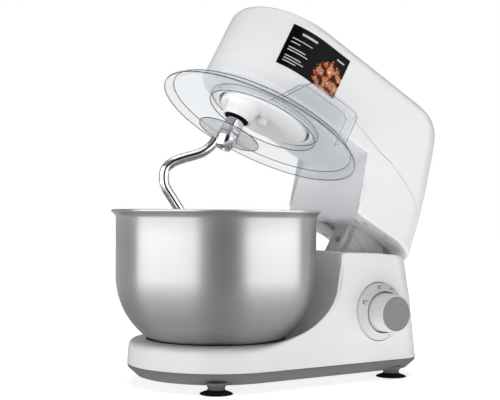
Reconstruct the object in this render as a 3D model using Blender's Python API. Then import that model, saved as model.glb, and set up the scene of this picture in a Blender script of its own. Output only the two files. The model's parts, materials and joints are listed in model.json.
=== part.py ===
"""Tilt-head stand mixer, standing on its four suction feet with the head tilted back.

+Z is up, the bowl is at -Y, the pillar at +Y and the speed knob at +X. Every piece is drawn where it
sits with the head shut, in millimetres from the bowl's axis at table height. The empties then carry
the pieces: "head_pivot" tilts the whole head back about the hinge, and "mixer" moves the bowl's axis
forwards, so that the origin is the middle of the footprint. The mesh builders turn millimetres into
metres.
"""

import bmesh
import bpy
from math import acos, cos, pi, radians, sin, sqrt, tan
from mathutils import Matrix, Vector

for old in list(bpy.data.objects):
    bpy.data.objects.remove(old, do_unlink=True)

# ---------------------------------------------------------------- driving dimensions, millimetres
MM = 0.001
GAP = 0.3  # clearance between pieces that touch
WALL = 3.0  # moulded ABS wall
ROUND = 36  # sides of a large turned piece
SMALL = 14  # sides of a small turned piece
TURNS = 40  # sides of the turned cutters that shape the pillar and the neck

HEAD_TILT = 28.2  # degrees, head tilted back
HINGE_Y = 208.0
HINGE_Z = 128.5
FRAME_SHIFT_Y = -79.2  # bowl axis to the middle of the footprint

BASE_FRONT_R = 96.5
BASE_SPLIT_Z = 21.6  # white shell above, grey tray below
BASE_REAR_HALF = 82.5
BASE_CORNER_R = 38.0
BASE_DRAFT = 0.06
PILLAR_TOP_Z = 143.0
PLATFORM_TOP_Z = 47.5
TRAY_BOTTOM_Z = 8.5
FOOT_R = 17.0
FEET = {"front_right": (75.0, -40.0), "front_left": (-75.0, -40.0), "rear_right": (66.0, 192.0),
        "rear_left": (-66.0, 192.0)}
BASE_SCREWS = ((58.0, -30.0), (-58.0, -30.0), (52.0, 208.0), (-52.0, 208.0))

BOWL_R = 110.0
BOWL_RIM_R = 115.5
BOWL_RIM_Z = 185.0
BOWL_BEAD_R = 2.5
BOWL_WALL = 1.5
BOWL_CURVE_R = 82.5
BOWL_CURVE_Z = 116.0
BOWL_FLOOR_Z = 40.0
BOWL_FOOT_R = 62.0
SEAT_R = 74.0
SEAT_Z = 33.0

HEAD_HALF = 75.0
HEAD_NOSE_Y = -8.0
HEAD_REAR_HALF = 71.5
HEAD_CORNER_R = 45.0
HEAD_TOP_Z = 304.0
HEAD_TOP_ROUND = 14.0
NOSE_UNDER_Z = 213.0
NECK_TOP_R = 129.5  # concave neck, about the bowl's axis
NECK_SLOPE = 0.159
SKIRT_R = 60.5

HUB_R = 52.7
HUB_Z = 200.6
TOOL_OFFSET = 30.0
TOOL_BOSS_R = 21.0
TOOL_BOSS_Z = 184.0
SEAL_R = 13.7
GEAR_MODULE = 2.0
RING_TEETH = 45
PLANET_TEETH = 15
GEAR_LOW_Z = 217.0
GEAR_HIGH_Z = 226.0
CHASSIS_Z = 227.0
PULLEY_Z = 283.0
PULLEY_H = 13.0
MAIN_PULLEY_R = 44.0
MOTOR_PULLEY_R = 9.0
MOTOR_Y = 150.0
MOTOR_R = 36.0

GUARD_R = 117.5
GUARD_Z = 190.0
CHUTE_X = (77.6, 98.0)
DISC_R = 36.0
DISC_Z = 163.4
COLLAR_R = 12.0
COLLAR_END_Z = 147.0
ROD_R = 5.4
HOOK_TURN = -121.0  # degrees, where the hook's bulge points about the tool shaft

KNOB_Y = 163.0
KNOB_Z = 76.0
KNOB_FACE_X = 112.0
DIAL_R = 32.0
BUTTON_Y = 160.0
BUTTON_Z = 108.0
SPRING_X = (-72.2, -48.2)
SPRING_R = 5.6

# ---------------------------------------------------------------- materials


def material(name, colour, roughness, metallic=0.0, alpha=1.0):
    made = bpy.data.materials.new(name)
    made.use_nodes = True
    made.diffuse_color = (*colour, alpha)
    shader = made.node_tree.nodes["Principled BSDF"]
    shader.inputs["Base Color"].default_value = (*colour, 1.0)
    shader.inputs["Roughness"].default_value = roughness
    shader.inputs["Metallic"].default_value = metallic
    shader.inputs["Alpha"].default_value = alpha
    return made


WHITE = dict(colour=(0.88, 0.88, 0.89), roughness=0.28)
GREY = dict(colour=(0.19, 0.19, 0.20), roughness=0.4)
RUBBER = dict(colour=(0.015, 0.015, 0.015), roughness=0.7)
BRUSHED = dict(colour=(0.6, 0.6, 0.6), roughness=0.32, metallic=1.0)
CHROME = dict(colour=(0.8, 0.8, 0.8), roughness=0.06, metallic=1.0)
STEEL = dict(colour=(0.45, 0.45, 0.46), roughness=0.35, metallic=1.0)
ALLOY = dict(colour=(0.62, 0.63, 0.64), roughness=0.45, metallic=1.0)
BLACK = dict(colour=(0.02, 0.02, 0.02), roughness=0.45)
NYLON = dict(colour=(0.75, 0.72, 0.62), roughness=0.5)
CLEAR = dict(colour=(0.82, 0.88, 0.92), roughness=0.08, alpha=0.3)
FROSTED = dict(colour=(0.75, 0.77, 0.78), roughness=0.3, alpha=0.6)
BOARD = dict(colour=(0.03, 0.2, 0.08), roughness=0.5)

# ---------------------------------------------------------------- mesh builders


def mesh_of(bm, name="shape"):
    bmesh.ops.recalc_face_normals(bm, faces=bm.faces[:])
    mesh = bpy.data.meshes.new(name)
    bm.to_mesh(mesh)
    bm.free()
    return mesh


def helper(bm):
    """A temporary object that holds a shape while Booleans work on it."""
    obj = bpy.data.objects.new("shape", mesh_of(bm))
    bpy.context.scene.collection.objects.link(obj)
    return obj


def vertex(bm, point):
    """A vertex at a millimetre point. Rounding puts what lies on the middle plane exactly on it."""
    return bm.verts.new([round(value, 5) * MM for value in point])


def skin(rings):
    """A closed solid through rings of equal count, given as millimetre points."""
    bm = bmesh.new()
    rows = [[vertex(bm, point) for point in ring] for ring in rings]
    for low, high in zip(rows, rows[1:]):
        for i in range(len(low)):
            k = (i + 1) % len(low)
            bm.faces.new((low[i], low[k], high[k], high[i]))
    bm.faces.new(rows[0][::-1])
    bm.faces.new(rows[-1])
    return helper(bm)


def turned(profile, sides=ROUND, centre=(0.0, 0.0), axis="Z"):
    """A solid of revolution from a closed section of (radius, height along the axis) points."""
    bm = bmesh.new()
    rows = []
    for radius, height in profile:
        turns = [0.0] if radius == 0 else [2 * pi * i / sides for i in range(sides)]
        row = []
        for turn in turns:
            a, b = radius * cos(turn), radius * sin(turn)
            if axis == "Z":
                point = (centre[0] + a, centre[1] + b, height)
            else:
                point = (height, centre[0] + a, centre[1] + b)
            row.append(vertex(bm, point))
        rows.append(row)
    for first, last in zip(rows, rows[1:] + rows[:1]):
        if len(first) == 1 and len(last) == 1:
            continue
        for i in range(sides):
            k = (i + 1) % sides
            corners = [first[0] if len(first) == 1 else first[i]]
            if len(first) > 1:
                corners.append(first[k])
            corners.append(last[0] if len(last) == 1 else last[k])
            if len(last) > 1:
                corners.append(last[i])
            bm.faces.new(corners)
    return helper(bm)


def disc(radius, low, high, sides=SMALL, centre=(0.0, 0.0), axis="Z"):
    return turned([(0, low), (radius, low), (radius, high), (0, high)], sides, centre, axis)


def prism(outline, low, high, along="Z"):
    """An outline pushed from low to high. Along X the outline is (y, z), and along Z it is (x, y)."""
    if along == "Z":
        rings = [[(x, y, level) for x, y in outline] for level in (low, high)]
    else:
        rings = [[(level, y, z) for y, z in outline] for level in (low, high)]
    return skin(rings)


def box(x, y, z):
    return prism([(x[0], y[0]), (x[1], y[0]), (x[1], y[1]), (x[0], y[1])], z[0], z[1])


def tube(path, radius, sides=10):
    """A round rod along a smooth path of millimetre points, with flat ends."""
    points = [Vector(p) for p in path]
    tangents = []
    for i in range(len(points)):
        ahead = points[min(i + 1, len(points) - 1)]
        behind = points[max(i - 1, 0)]
        tangents.append((ahead - behind).normalized())
    side = tangents[0].orthogonal().normalized()
    rings = []
    for i, point in enumerate(points):
        side = (side - tangents[i] * side.dot(tangents[i])).normalized()
        other = tangents[i].cross(side)
        ring = []
        for k in range(sides):
            turn = 2 * pi * k / sides
            ring.append(point + (side * cos(turn) + other * sin(turn)) * radius)
        rings.append(ring)
    return skin(rings)


def combine(target, others, operation):
    """Applies an exact Boolean of the other shapes to the target, and removes them."""
    for other in others:
        modifier = target.modifiers.new("cut", "BOOLEAN")
        modifier.operation = operation
        modifier.solver = "EXACT"
        modifier.object = other
        bpy.context.view_layer.update()
        graph = bpy.context.evaluated_depsgraph_get()
        result = bpy.data.meshes.new_from_object(target.evaluated_get(graph))
        target.modifiers.clear()
        target.data = result
        bpy.data.objects.remove(other, do_unlink=True)
    return target


def cut(target, *others):
    return combine(target, others, "DIFFERENCE")


def add(target, *others):
    return combine(target, others, "UNION")


def smooth_line(stations, at):
    """The height of a polyline of (position, value) stations at a position."""
    if at <= stations[0][0]:
        return stations[0][1]
    for (a, low), (b, high) in zip(stations, stations[1:]):
        if at <= b:
            return low + (high - low) * (at - a) / (b - a)
    return stations[-1][1]


def arc(cx, cy, radius, start, end, steps):
    """Points on an arc, in degrees, with both ends."""
    turns = [radians(start + (end - start) * i / steps) for i in range(steps + 1)]
    return [(cx + radius * cos(t), cy + radius * sin(t)) for t in turns]


def mirrored(half):
    """A closed outline from its +X half, which runs from the front to the back of the middle plane."""
    return half + [(-x, y) for x, y in half[::-1] if abs(x) > 1e-6]


# ---------------------------------------------------------------- empties and pieces
empties = {}


def empty(name, origin, parent=None):
    """An empty at a point of the shut mixer, under its parent empty."""
    made = bpy.data.objects.new(name, None)
    made.empty_display_size = 0.02
    bpy.context.scene.collection.objects.link(made)
    empties[name] = (made, Vector(origin))
    if parent:
        made.parent = empties[parent][0]
        made.location = (Vector(origin) - empties[parent][1]) * MM
    return made


def piece(name, shape, look, carrier, origin=None):
    """Names a finished shape, gives it its material, and hangs it on its empty with its own origin."""
    holder, at = empties[carrier]
    origin = Vector(origin) if origin else at
    shape.data.transform(Matrix.Translation(-origin * MM))
    shape.name = name
    shape.data.name = name
    shape.data.materials.clear()
    shape.data.materials.append(material(name, **look))
    shape.data.shade_smooth()
    shape.data.set_sharp_from_angle(angle=radians(35))
    shape.parent = holder
    shape.location = (origin - at) * MM
    return shape


# ---------------------------------------------------------------- base


BASE_REAR = [(BASE_SPLIT_Z, 233.5), (88, 228.5), (128, 222.5), (PILLAR_TOP_Z, 220)]
PILLAR_TOP = [(90, PILLAR_TOP_Z), (150, 141.5), (180, 139.5), (200, 137.5), (210, 135.5), (216, 132.5),
              (222, 127)]


def base_outline(z, inset=0.0):
    """The footprint at a height: a round front, sides that draw in towards the back, and round corners."""
    draft = BASE_DRAFT * max(z - BASE_SPLIT_Z, 0) + inset
    front = BASE_FRONT_R - draft
    rear = smooth_line(BASE_REAR, z) - inset
    corner = BASE_CORNER_R - inset
    half = BASE_REAR_HALF - draft
    points = arc(0, 0, front, -90, 4, 12)
    points += arc(half - corner, rear - corner, corner, 0, 90, 4)
    return mirrored(points + [(0, rear)])


def base_loft(levels, inset=0.0):
    return skin([[(x, y, z) for x, y in base_outline(z, inset)] for z in levels])


def dish(offset):
    """The space round the bowl: a turned cutter that leaves the platform and the concave pillar."""
    sweep = [(137.0, 122), (134.5, 101), (127.0, 82.5), (114.0, 65.8), (101.0, 55.3), (90.0, 49.5)]
    profile = [(0, 400), (137.5 + offset, 400), (137.5 + offset, 141)]
    profile += [(r + offset * 0.8, z - offset * 0.6) for r, z in sweep]
    profile += [(80, PLATFORM_TOP_Z - offset), (0, PLATFORM_TOP_Z - offset)]
    return turned(profile, TURNS)


def above(stations, offset=0.0, top=400):
    """A wide cutter over a line of (y, z) stations."""
    line = [(y, z - offset) for y, z in stations]
    first, last = line[0], line[-1]
    return prism([(first[0] - 300, first[1])] + line + [(last[0] + 60, last[1] - 40), (last[0] + 60, top),
                 (first[0] - 300, top)], -200, 200, along="X")


def platform_edge(offset=0.0):
    """Rounds the platform's upper rim, in front of the pillar."""
    radius = 9.0
    middle = BASE_FRONT_R - 0.9 - radius
    curve = arc(middle, PLATFORM_TOP_Z - radius - 1, radius - offset, 0, 90, 3)
    profile = curve + [(middle, 70), (middle + 39, 70), (middle + 39, curve[0][1])]
    keep = [(10 + offset, 0), (10 + offset, 30), (60 + offset, 58), (60 + offset, 90), (200, 90), (200, 0)]
    return cut(turned(profile, TURNS), prism(keep, -200, 200, along="X"))


def make_base():
    levels = (BASE_SPLIT_Z, 88, 128, 150)
    shell = base_loft(levels)
    cut(shell, dish(0), above(PILLAR_TOP), platform_edge())
    hollow = base_loft((BASE_SPLIT_Z - 1, 88, 128, 151), WALL)
    cut(hollow, dish(WALL), platform_edge(WALL))
    cut(shell, hollow)
    # the well that the bowl's foot stands in, as a cup below the platform
    well = turned([(0, SEAT_Z - WALL), (SEAT_R + WALL, SEAT_Z - WALL), (SEAT_R + WALL, PLATFORM_TOP_Z - 1),
                   (0, PLATFORM_TOP_Z - 1)], ROUND)
    add(shell, well)
    cut(shell, disc(SEAT_R, SEAT_Z, 60, ROUND))
    for x in (46, -46):
        add(shell, box((x - 9, x + 9), (196, 226), (30, 91.7)))
    for x, y in BASE_SCREWS:
        boss = [(0, 28), (2.3, 28), (2.3, 12.6), (5.2, 12.6), (5.2, SEAT_Z - 1), (0, SEAT_Z - 1)]
        add(shell, turned(boss, 12, (x, y)))
    cut(shell, disc(DIAL_R + GAP + 0.2, 70, 100, 32, (KNOB_Y, KNOB_Z), "X"))
    cut(shell, disc(8.6, -100, -60, 24, (BUTTON_Y, BUTTON_Z), "X"))
    cut(shell, turned_y(7.4, 222, 240, (-42, 42)))
    piece("base_shell", shell, WHITE, "mixer")

    tray_levels = ((BASE_SPLIT_Z - GAP, 0.3), (17.0, 2.2), (TRAY_BOTTOM_Z, 11.5))
    tray = skin([[(x, y, z) for x, y in base_outline(BASE_SPLIT_Z, inset)] for z, inset in tray_levels])
    inner = ((BASE_SPLIT_Z + 1, 3.4), (17.5, 5.0), (12.0, 11.0))
    cut(tray, skin([[(x, y, z) for x, y in base_outline(BASE_SPLIT_Z, inset)] for z, inset in inner]))
    for x, y in FEET.values():
        add(tray, turned([(0, 12), (10.5, 12), (9.5, 8), (8.6, 4.4), (0, 4.4)], SMALL, (x, y)))
    for x, y in BASE_SCREWS:
        cut(tray, disc(2.4, 5, 15, 12, (x, y)), disc(4.6, 5, 10.4, 12, (x, y)))
    piece("base_tray", tray, GREY, "mixer")

    for name, (x, y) in FEET.items():
        foot = turned([(0, 0), (FOOT_R, 0), (FOOT_R, 0.8), (13, 2.4), (9.8, 4.1), (0, 4.1)], 20, (x, y))
        piece("foot_" + name, foot, RUBBER, "mixer", (x, y, 0))
    for i, (x, y) in enumerate(BASE_SCREWS, 1):
        screw = turned([(0, 8.9), (4.2, 8.9), (4.2, 10.1), (2.0, 10.1), (2.0, 27), (0, 27)], 12, (x, y))
        cut(screw, box((x - 3, x + 3), (y - 0.5, y + 0.5), (8, 9.5)))
        piece(f"base_screw_{i}", screw, STEEL, "mixer", (x, y, 9))

    seat = turned([(66.5, SEAT_Z + GAP), (SEAT_R - GAP, SEAT_Z + GAP), (SEAT_R - GAP, 37.5), (70, 37.5),
                   (68.5, 36.3), (66.5, 36.3)])
    piece("bowl_seat", seat, BLACK, "mixer", (0, 0, SEAT_Z))

    gland = turned_y(7.0, 226.5, 235.5, (-42, 42))
    add(gland, turned_y(9.6, 234.2, 237.0, (-42, 42)))
    cut(gland, turned_y(3.6, 220, 240, (-42, 42)))
    piece("cord_gland", gland, RUBBER, "mixer", (-42, 230, 42))

    board = box((-63, -61.4), (146, 196), (34, 84))
    for y in (156, 168, 184):
        add(board, box((-61.6, -52), (y - 4, y + 4), (44, 66)))
    piece("control_board", board, BOARD, "mixer", (-62, 170, 60))


def turned_y(radius, low, high, at, sides=SMALL):
    """A disc along Y at an (x, z) place."""
    x, z = at
    rings = []
    for y in (low, high):
        rings.append([(x + radius * cos(2 * pi * i / sides), y, z + radius * sin(2 * pi * i / sides))
                      for i in range(sides)])
    return skin(rings)


def make_hinge():
    pin = disc(4.0, -29, 29, SMALL, (HINGE_Y, HINGE_Z), "X")
    add(pin, disc(6.0, 28, 30, SMALL, (HINGE_Y, HINGE_Z), "X"))
    piece("hinge_pin", pin, STEEL, "mixer", (0, HINGE_Y, HINGE_Z))

    ear = arc(HINGE_Y, HINGE_Z, 9.5, -20, 160, 8) + [(178, 112), (176, 92), (214, 92)]
    bracket = prism(ear, 21.5, 27, along="X")
    add(bracket, prism(ear, -27, -21.5, along="X"))
    add(bracket, box((-60, 60), (176, 214), (92, 97)))
    cut(bracket, disc(4.3, -40, 40, SMALL, (HINGE_Y, HINGE_Z), "X"))
    piece("hinge_bracket", bracket, WHITE, "mixer", (0, HINGE_Y, HINGE_Z))

    deck = skin([[(x, y, z) for x, y in base_outline(z, WALL + GAP)] for z in (124.5, 127.5)])
    cut(deck, turned([(0, 100), (141.2, 100), (141.2, 160), (0, 160)], TURNS))
    cut(deck, box((-30, 30), (146, 212), (100, 150)))
    cut(deck, box((-70, 70), (203, 260), (100, 150)))
    piece("pillar_deck", deck, WHITE, "mixer", (0, 180, 126))


# ---------------------------------------------------------------- controls


def make_controls():
    axis = (KNOB_Y, KNOB_Z)
    ring = turned([(23.5, 78.0), (DIAL_R, 78.0), (DIAL_R, 83.6), (DIAL_R - 1.5, 84.2), (24.5, 82.6),
                   (23.5, 82.2)], 28, axis, "X")
    back = turned([(5.0, 78.0), (24.5, 78.0), (24.5, 79.6), (5.0, 79.6)], 28, axis, "X")
    add(ring, back)
    piece("dial_ring", ring, WHITE, "mixer", (80, *axis))

    switch = box((54, 74), (KNOB_Y - 15, KNOB_Y + 15), (KNOB_Z - 15, KNOB_Z + 15))
    add(switch, disc(8, 73, 77.6, SMALL, axis, "X"))
    cut(switch, disc(3.3, 60, 80, 16, axis, "X"))
    piece("speed_switch", switch, BLACK, "mixer", (64, *axis))

    empty("knob_axis", (98, *axis), "mixer")
    knob = turned([(3.4, 80.4), (22.0, 80.4), (22.2, 84.0), (20.4, 104.0), (19.9, 111.2),
                   (19.3, KNOB_FACE_X), (18.5, KNOB_FACE_X), (18.4, 109.6), (3.4, 109.6)], 28, axis, "X")
    piece("knob_body", knob, WHITE, "knob_axis")
    cap = turned([(0, 109.9), (18.1, 109.9), (18.1, 111.2), (17.3, 111.8), (0, 111.8)], 28, axis, "X")
    piece("knob_cap", cap, GREY, "knob_axis")
    piece("switch_spindle", disc(3.0, 62, 109.2, 16, axis, "X"), STEEL, "knob_axis")

    place = (BUTTON_Y, BUTTON_Z)
    empty("button_axis", (-82, *place), "mixer")
    button = turned([(0, -87.5), (7.4, -87.5), (8.2, -86.6), (8.2, -75), (10.5, -75), (10.5, -73.2),
                     (3.2, -73.2), (3.2, -36), (0, -36)], 16, place, "X")
    piece("release_button", button, GREY, "button_axis")
    turns, steps = 5, 9
    coil = []
    for i in range(turns * steps + 1):
        turn = 2 * pi * i / steps
        along = SPRING_X[0] + (SPRING_X[1] - SPRING_X[0]) * i / (turns * steps)
        coil.append((along, BUTTON_Y + SPRING_R * cos(turn), BUTTON_Z + SPRING_R * sin(turn)))
    piece("latch_spring", tube(coil, 0.7, 4), STEEL, "mixer", (-60, *place))
    stop = box((-47.5, -44.5), (BUTTON_Y - 9, BUTTON_Y + 9), (97.3, 118))
    cut(stop, disc(3.6, -50, -40, 16, place, "X"))
    add(stop, box((-59, -44.5), (BUTTON_Y - 9, 190), (97.3, 99.3)))
    piece("latch_guide", stop, STEEL, "mixer", (-46, *place))


# ---------------------------------------------------------------- bowl


def bowl_profile(shrink, samples=6):
    """The outside of the bowl from the rim down to its foot, pulled in by a wall."""
    radius = BOWL_CURVE_R - shrink
    centre = BOWL_R - BOWL_CURVE_R
    side = arc(centre, BOWL_CURVE_Z, radius, 0, -61, samples)
    return [(BOWL_R - shrink, BOWL_RIM_Z - 2.0)] + side


def make_bowl():
    empty("bowl_axis", (0, 0, SEAT_Z), "mixer")
    bead = arc(BOWL_RIM_R - BOWL_BEAD_R, BOWL_RIM_Z, BOWL_BEAD_R, 200, -70, 5)
    outer = bowl_profile(0)[1:] + [(BOWL_FOOT_R + 2, BOWL_FLOOR_Z)]
    inner = [(BOWL_R - BOWL_WALL, BOWL_RIM_Z - 2.0)] + bowl_profile(BOWL_WALL)[1:]
    inner += [(BOWL_FOOT_R + 1, BOWL_FLOOR_Z + BOWL_WALL), (0, BOWL_FLOOR_Z + BOWL_WALL)]
    profile = inner[::-1] + bead + [(BOWL_R, BOWL_RIM_Z - 4.5)] + outer + [(0, BOWL_FLOOR_Z)]
    piece("bowl", turned(profile), BRUSHED, "bowl_axis")
    foot = turned([(BOWL_FOOT_R - 4, BOWL_FLOOR_Z - GAP), (BOWL_FOOT_R - 4, SEAT_Z + GAP),
                   (BOWL_FOOT_R, SEAT_Z + GAP), (BOWL_FOOT_R, BOWL_FLOOR_Z - GAP)])
    for k in range(3):
        lug = box((60.5, 65.8), (-7, 7), (34, 36.5))
        lug.data.transform(Matrix.Rotation(2 * pi * k / 3, 4, "Z"))
        add(foot, lug)
    piece("bowl_foot", foot, BRUSHED, "bowl_axis")


# ---------------------------------------------------------------- head


HEAD_REAR = [(120, 231), (146, 230.5), (158, 228.6), (188, 223.8), (215, 218.6), (250, 209.5), (275, 203),
             (288, 198), (296, 190.5), (301, 182), (HEAD_TOP_Z, 168)]
HEAD_PART = [(35, 238), (70, 233), (112, 222), (135, 219), (160, 211), (184, 200), (200, 189), (215, 180),
             (235, 172)]
HEAD_BOTTOM = [(90, 147), (190, 146), (210, 143), (232, 139)]


def head_outline(z, inset=0.0):
    """The head seen from above at a height: a round nose, long sides and round rear corners."""
    rise = max(z - (HEAD_TOP_Z - HEAD_TOP_ROUND), 0)
    pull = HEAD_TOP_ROUND - sqrt(max(HEAD_TOP_ROUND**2 - rise**2, 0)) + inset
    nose = HEAD_HALF - pull
    half = HEAD_REAR_HALF - pull
    corner = HEAD_CORNER_R - pull
    rear = smooth_line(HEAD_REAR, z) - inset
    points = arc(0, HEAD_NOSE_Y, nose, -90, 1, 12)
    points += arc(half - corner, rear - corner, corner, 0, 90, 5)
    return mirrored(points + [(0, rear)])


def head_loft(inset=0.0, lower=False):
    levels = [120 - inset, 150, 188, 215, 250 + inset, 275]
    top = HEAD_TOP_Z - inset
    if lower:
        levels = levels[:5]
    else:
        levels += [HEAD_TOP_Z - HEAD_TOP_ROUND * (1 - sin(radians(a))) for a in (0, 28, 52, 72)]
        levels = [min(z, top) for z in levels if z < top - 0.5] + [top]
    return skin([[(x, y, z) for x, y in head_outline(z, inset)] for z in levels])


def neck(offset=0.0):
    """The cutter under the nose: round the bowl's axis, so that it leaves the concave neck."""
    top = NOSE_UNDER_Z + offset
    low = 90.0
    narrow = NECK_TOP_R + offset
    return turned([(0, low), (narrow + NECK_SLOPE * (top - low), low), (narrow, top), (0, top)], TURNS)


def below(stations, offset=0.0):
    line = [(y, z + offset) for y, z in stations]
    return prism([(line[0][0], 60)] + line + [(line[-1][0] + 20, line[-1][1]), (line[-1][0] + 20, 60)],
                 -200, 200, along="X")


def make_head_shells():
    cover = head_loft()
    cut(cover, head_loft(WALL))
    under = [(HEAD_PART[0][0] - 200, HEAD_PART[0][1])] + HEAD_PART
    cut(cover, prism([(under[0][0], 60)] + under + [(260, 166), (260, 60)], -200, 200, along="X"))
    piece("head_cover", cover, WHITE, "head_pivot")

    lower = head_loft(lower=True)
    cut(lower, neck(), below(HEAD_BOTTOM))
    hollow = head_loft(WALL, lower=True)
    cut(hollow, neck(WALL), below(HEAD_BOTTOM, WALL))
    cut(lower, hollow)
    cut(lower, above(HEAD_PART, GAP + 0.2))
    skirt = turned([(56.0, 203.5), (SKIRT_R, 203.5), (SKIRT_R, 215.5), (64.0, 215.5), (64.0, 226.7),
                    (60.0, 226.7), (56.0, 216)])
    cut(lower, disc(58.0, 200, 220, ROUND))
    add(lower, skirt)
    cut(lower, box((-31, 31), (146, 224), (130, 151)), box((-62, 62), (204, 224), (130, 151)))
    piece("head_lower", lower, WHITE, "head_pivot")


def make_hinge_arm():
    """The arm that carries the head on the hinge pin, with the latch tongue in front."""
    flange = box((-42, 42), (150, 203), (150.3, 156))
    web_side = arc(HINGE_Y, HINGE_Z, 10, -130, 50, 9) + [(202, 154), (160, 154), (160, 140)]
    web = prism(web_side, -20.8, 20.8, along="X")
    tongue = box((-13, 13), (154.5, 163), (101, 154))
    arm = add(flange, web, tongue)
    cut(arm, disc(4.3, -40, 40, SMALL, (HINGE_Y, HINGE_Z), "X"))
    cut(arm, box((-9, 9), (150, 157.5), (112, 139)))
    piece("hinge_arm", arm, WHITE, "head_pivot")
    screw = turned_y(3.6, 155.0, 157.2, (0, 131), 16)
    cut(screw, box((-2.5, 2.5), (154, 155.8), (130.5, 131.5)))
    piece("arm_screw", screw, STEEL, "head_pivot", (0, 156, 131))


def gear_outline(teeth, tip, root, spread):
    """An involute outline with a tooth at -Y. Spread widens each tooth along the pitch circle."""
    pitch = GEAR_MODULE * teeth / 2
    base = pitch * cos(radians(20))

    def lean(radius):
        pressure = acos(min(base / max(radius, base), 1))
        return tan(pressure) - pressure

    half = pi / (2 * teeth) + spread / (2 * pitch) + lean(pitch)
    radii = [root, tip]
    outline = []
    for tooth in range(teeth):
        middle = -pi / 2 + 2 * pi * tooth / teeth
        flank = [(r, half - lean(r)) for r in radii]
        for r, a in flank:
            outline.append((r * cos(middle - a), r * sin(middle - a)))
        for r, a in flank[::-1]:
            outline.append((r * cos(middle + a), r * sin(middle + a)))
    return outline


def make_drive():
    empty("drive_axis", (0, 0, HUB_Z), "head_pivot")
    empty("tool_axis", (0, -TOOL_OFFSET, DISC_Z), "drive_axis")
    empty("hook_axis", (0, -TOOL_OFFSET, COLLAR_END_Z), "tool_axis")
    tool = (0, -TOOL_OFFSET)

    ring = disc(54.5, GEAR_LOW_Z, GEAR_HIGH_Z + 0.6, ROUND)
    cut(ring, prism(gear_outline(RING_TEETH, 47.4, 43.6, 0.3), GEAR_LOW_Z - 1, GEAR_HIGH_Z + 2))
    piece("ring_gear", ring, NYLON, "head_pivot", (0, 0, GEAR_LOW_Z))

    planet = prism(gear_outline(PLANET_TEETH, 16.5, 12.8, -0.3), GEAR_LOW_Z, GEAR_HIGH_Z)
    planet.data.transform(Matrix.Translation((0, -TOOL_OFFSET * MM, 0)))
    cut(planet, disc(5.3, 200, 240, SMALL, tool))
    piece("planet_gear", planet, NYLON, "tool_axis")

    hub = turned([(0, HUB_Z), (HUB_R - 1.5, HUB_Z), (HUB_R, HUB_Z + 1.5), (HUB_R, 212.5), (50.2, 212.5),
                  (50.2, 204.6), (12, 204.6), (12, 215.5), (0, 215.5)], 36)
    bore = SEAL_R + 2 * GAP
    boss = turned([(4, 189), (bore, 189), (bore, TOOL_BOSS_Z), (TOOL_BOSS_R - 3, TOOL_BOSS_Z),
                   (TOOL_BOSS_R - 1, TOOL_BOSS_Z + 1.2), (TOOL_BOSS_R, 196), (TOOL_BOSS_R, 203), (11, 203),
                   (11, 215.5), (4, 215.5)], 24, tool)
    add(hub, boss)
    cut(hub, disc(5.3, 170, 230, SMALL, tool))
    cut(hub, disc(6.3, 203.2, 230, SMALL))
    piece("planet_hub", hub, WHITE, "drive_axis")
    cap = turned([(0, 193.5), (5.8, 193.5), (7.0, 194.5), (7.0, HUB_Z - GAP), (0, HUB_Z - GAP)], SMALL)
    piece("hub_cap", cap, WHITE, "drive_axis", (0, 0, 197))
    seal = turned([(5.4, 182.6), (SEAL_R - 1, 182.6), (SEAL_R, 183.4), (SEAL_R, 188.6), (5.4, 188.6)],
                  24, tool)
    piece("shaft_seal", seal, RUBBER, "drive_axis", (0, -TOOL_OFFSET, 185))

    piece("main_shaft", disc(6.0, 203.5, 297.5, SMALL), STEEL, "drive_axis")
    pulley = turned([(6.4, PULLEY_Z), (MAIN_PULLEY_R + 3, PULLEY_Z), (MAIN_PULLEY_R + 3, PULLEY_Z + 1.2),
                     (MAIN_PULLEY_R, PULLEY_Z + 1.2), (MAIN_PULLEY_R, PULLEY_Z + PULLEY_H),
                     (38, PULLEY_Z + PULLEY_H), (38, PULLEY_Z + 4), (12, PULLEY_Z + 4),
                     (12, PULLEY_Z + PULLEY_H), (6.4, PULLEY_Z + PULLEY_H)], 32)
    piece("main_pulley", pulley, NYLON, "drive_axis")

    shaft = disc(5.0, 150.5, GEAR_HIGH_Z, SMALL, tool)
    piece("tool_shaft", shaft, CHROME, "tool_axis")


def make_gearbox():
    outline = mirrored(arc(0, 0, 66, -90, 0, 10) + [(66, 178), (54, 190), (0, 190)])
    chassis = prism(outline, CHASSIS_Z, CHASSIS_Z + 4)
    add(chassis, turned([(0, CHASSIS_Z), (18, CHASSIS_Z), (16, 238), (16, 276), (0, 276)], 20))
    cut(chassis, disc(11.3, 220, 236, 20), disc(11.3, 267, 280, 20), disc(8, 230, 270, SMALL))
    cut(chassis, disc(9.3, 220, 240, 20, (0, MOTOR_Y)))
    for y in (62, 92):
        cut(chassis, disc(12, 220, 240, 16, (34, y)), disc(12, 220, 240, 16, (-34, y)))
    piece("chassis", chassis, ALLOY, "head_pivot", (0, 0, CHASSIS_Z))
    for name, low in (("lower", 228.0), ("upper", 267.6)):
        bearing = turned([(6.3, low), (11.0, low), (11.0, low + 7.6), (6.3, low + 7.6)], 20)
        piece(f"main_bearing_{name}", bearing, STEEL, "head_pivot", (0, 0, low))
    bearing = turned([(4.3, 227.2), (9.0, 227.2), (9.0, 230.8), (4.3, 230.8)], 20, (0, MOTOR_Y))
    piece("motor_bearing", bearing, STEEL, "head_pivot", (0, MOTOR_Y, 229))


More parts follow.
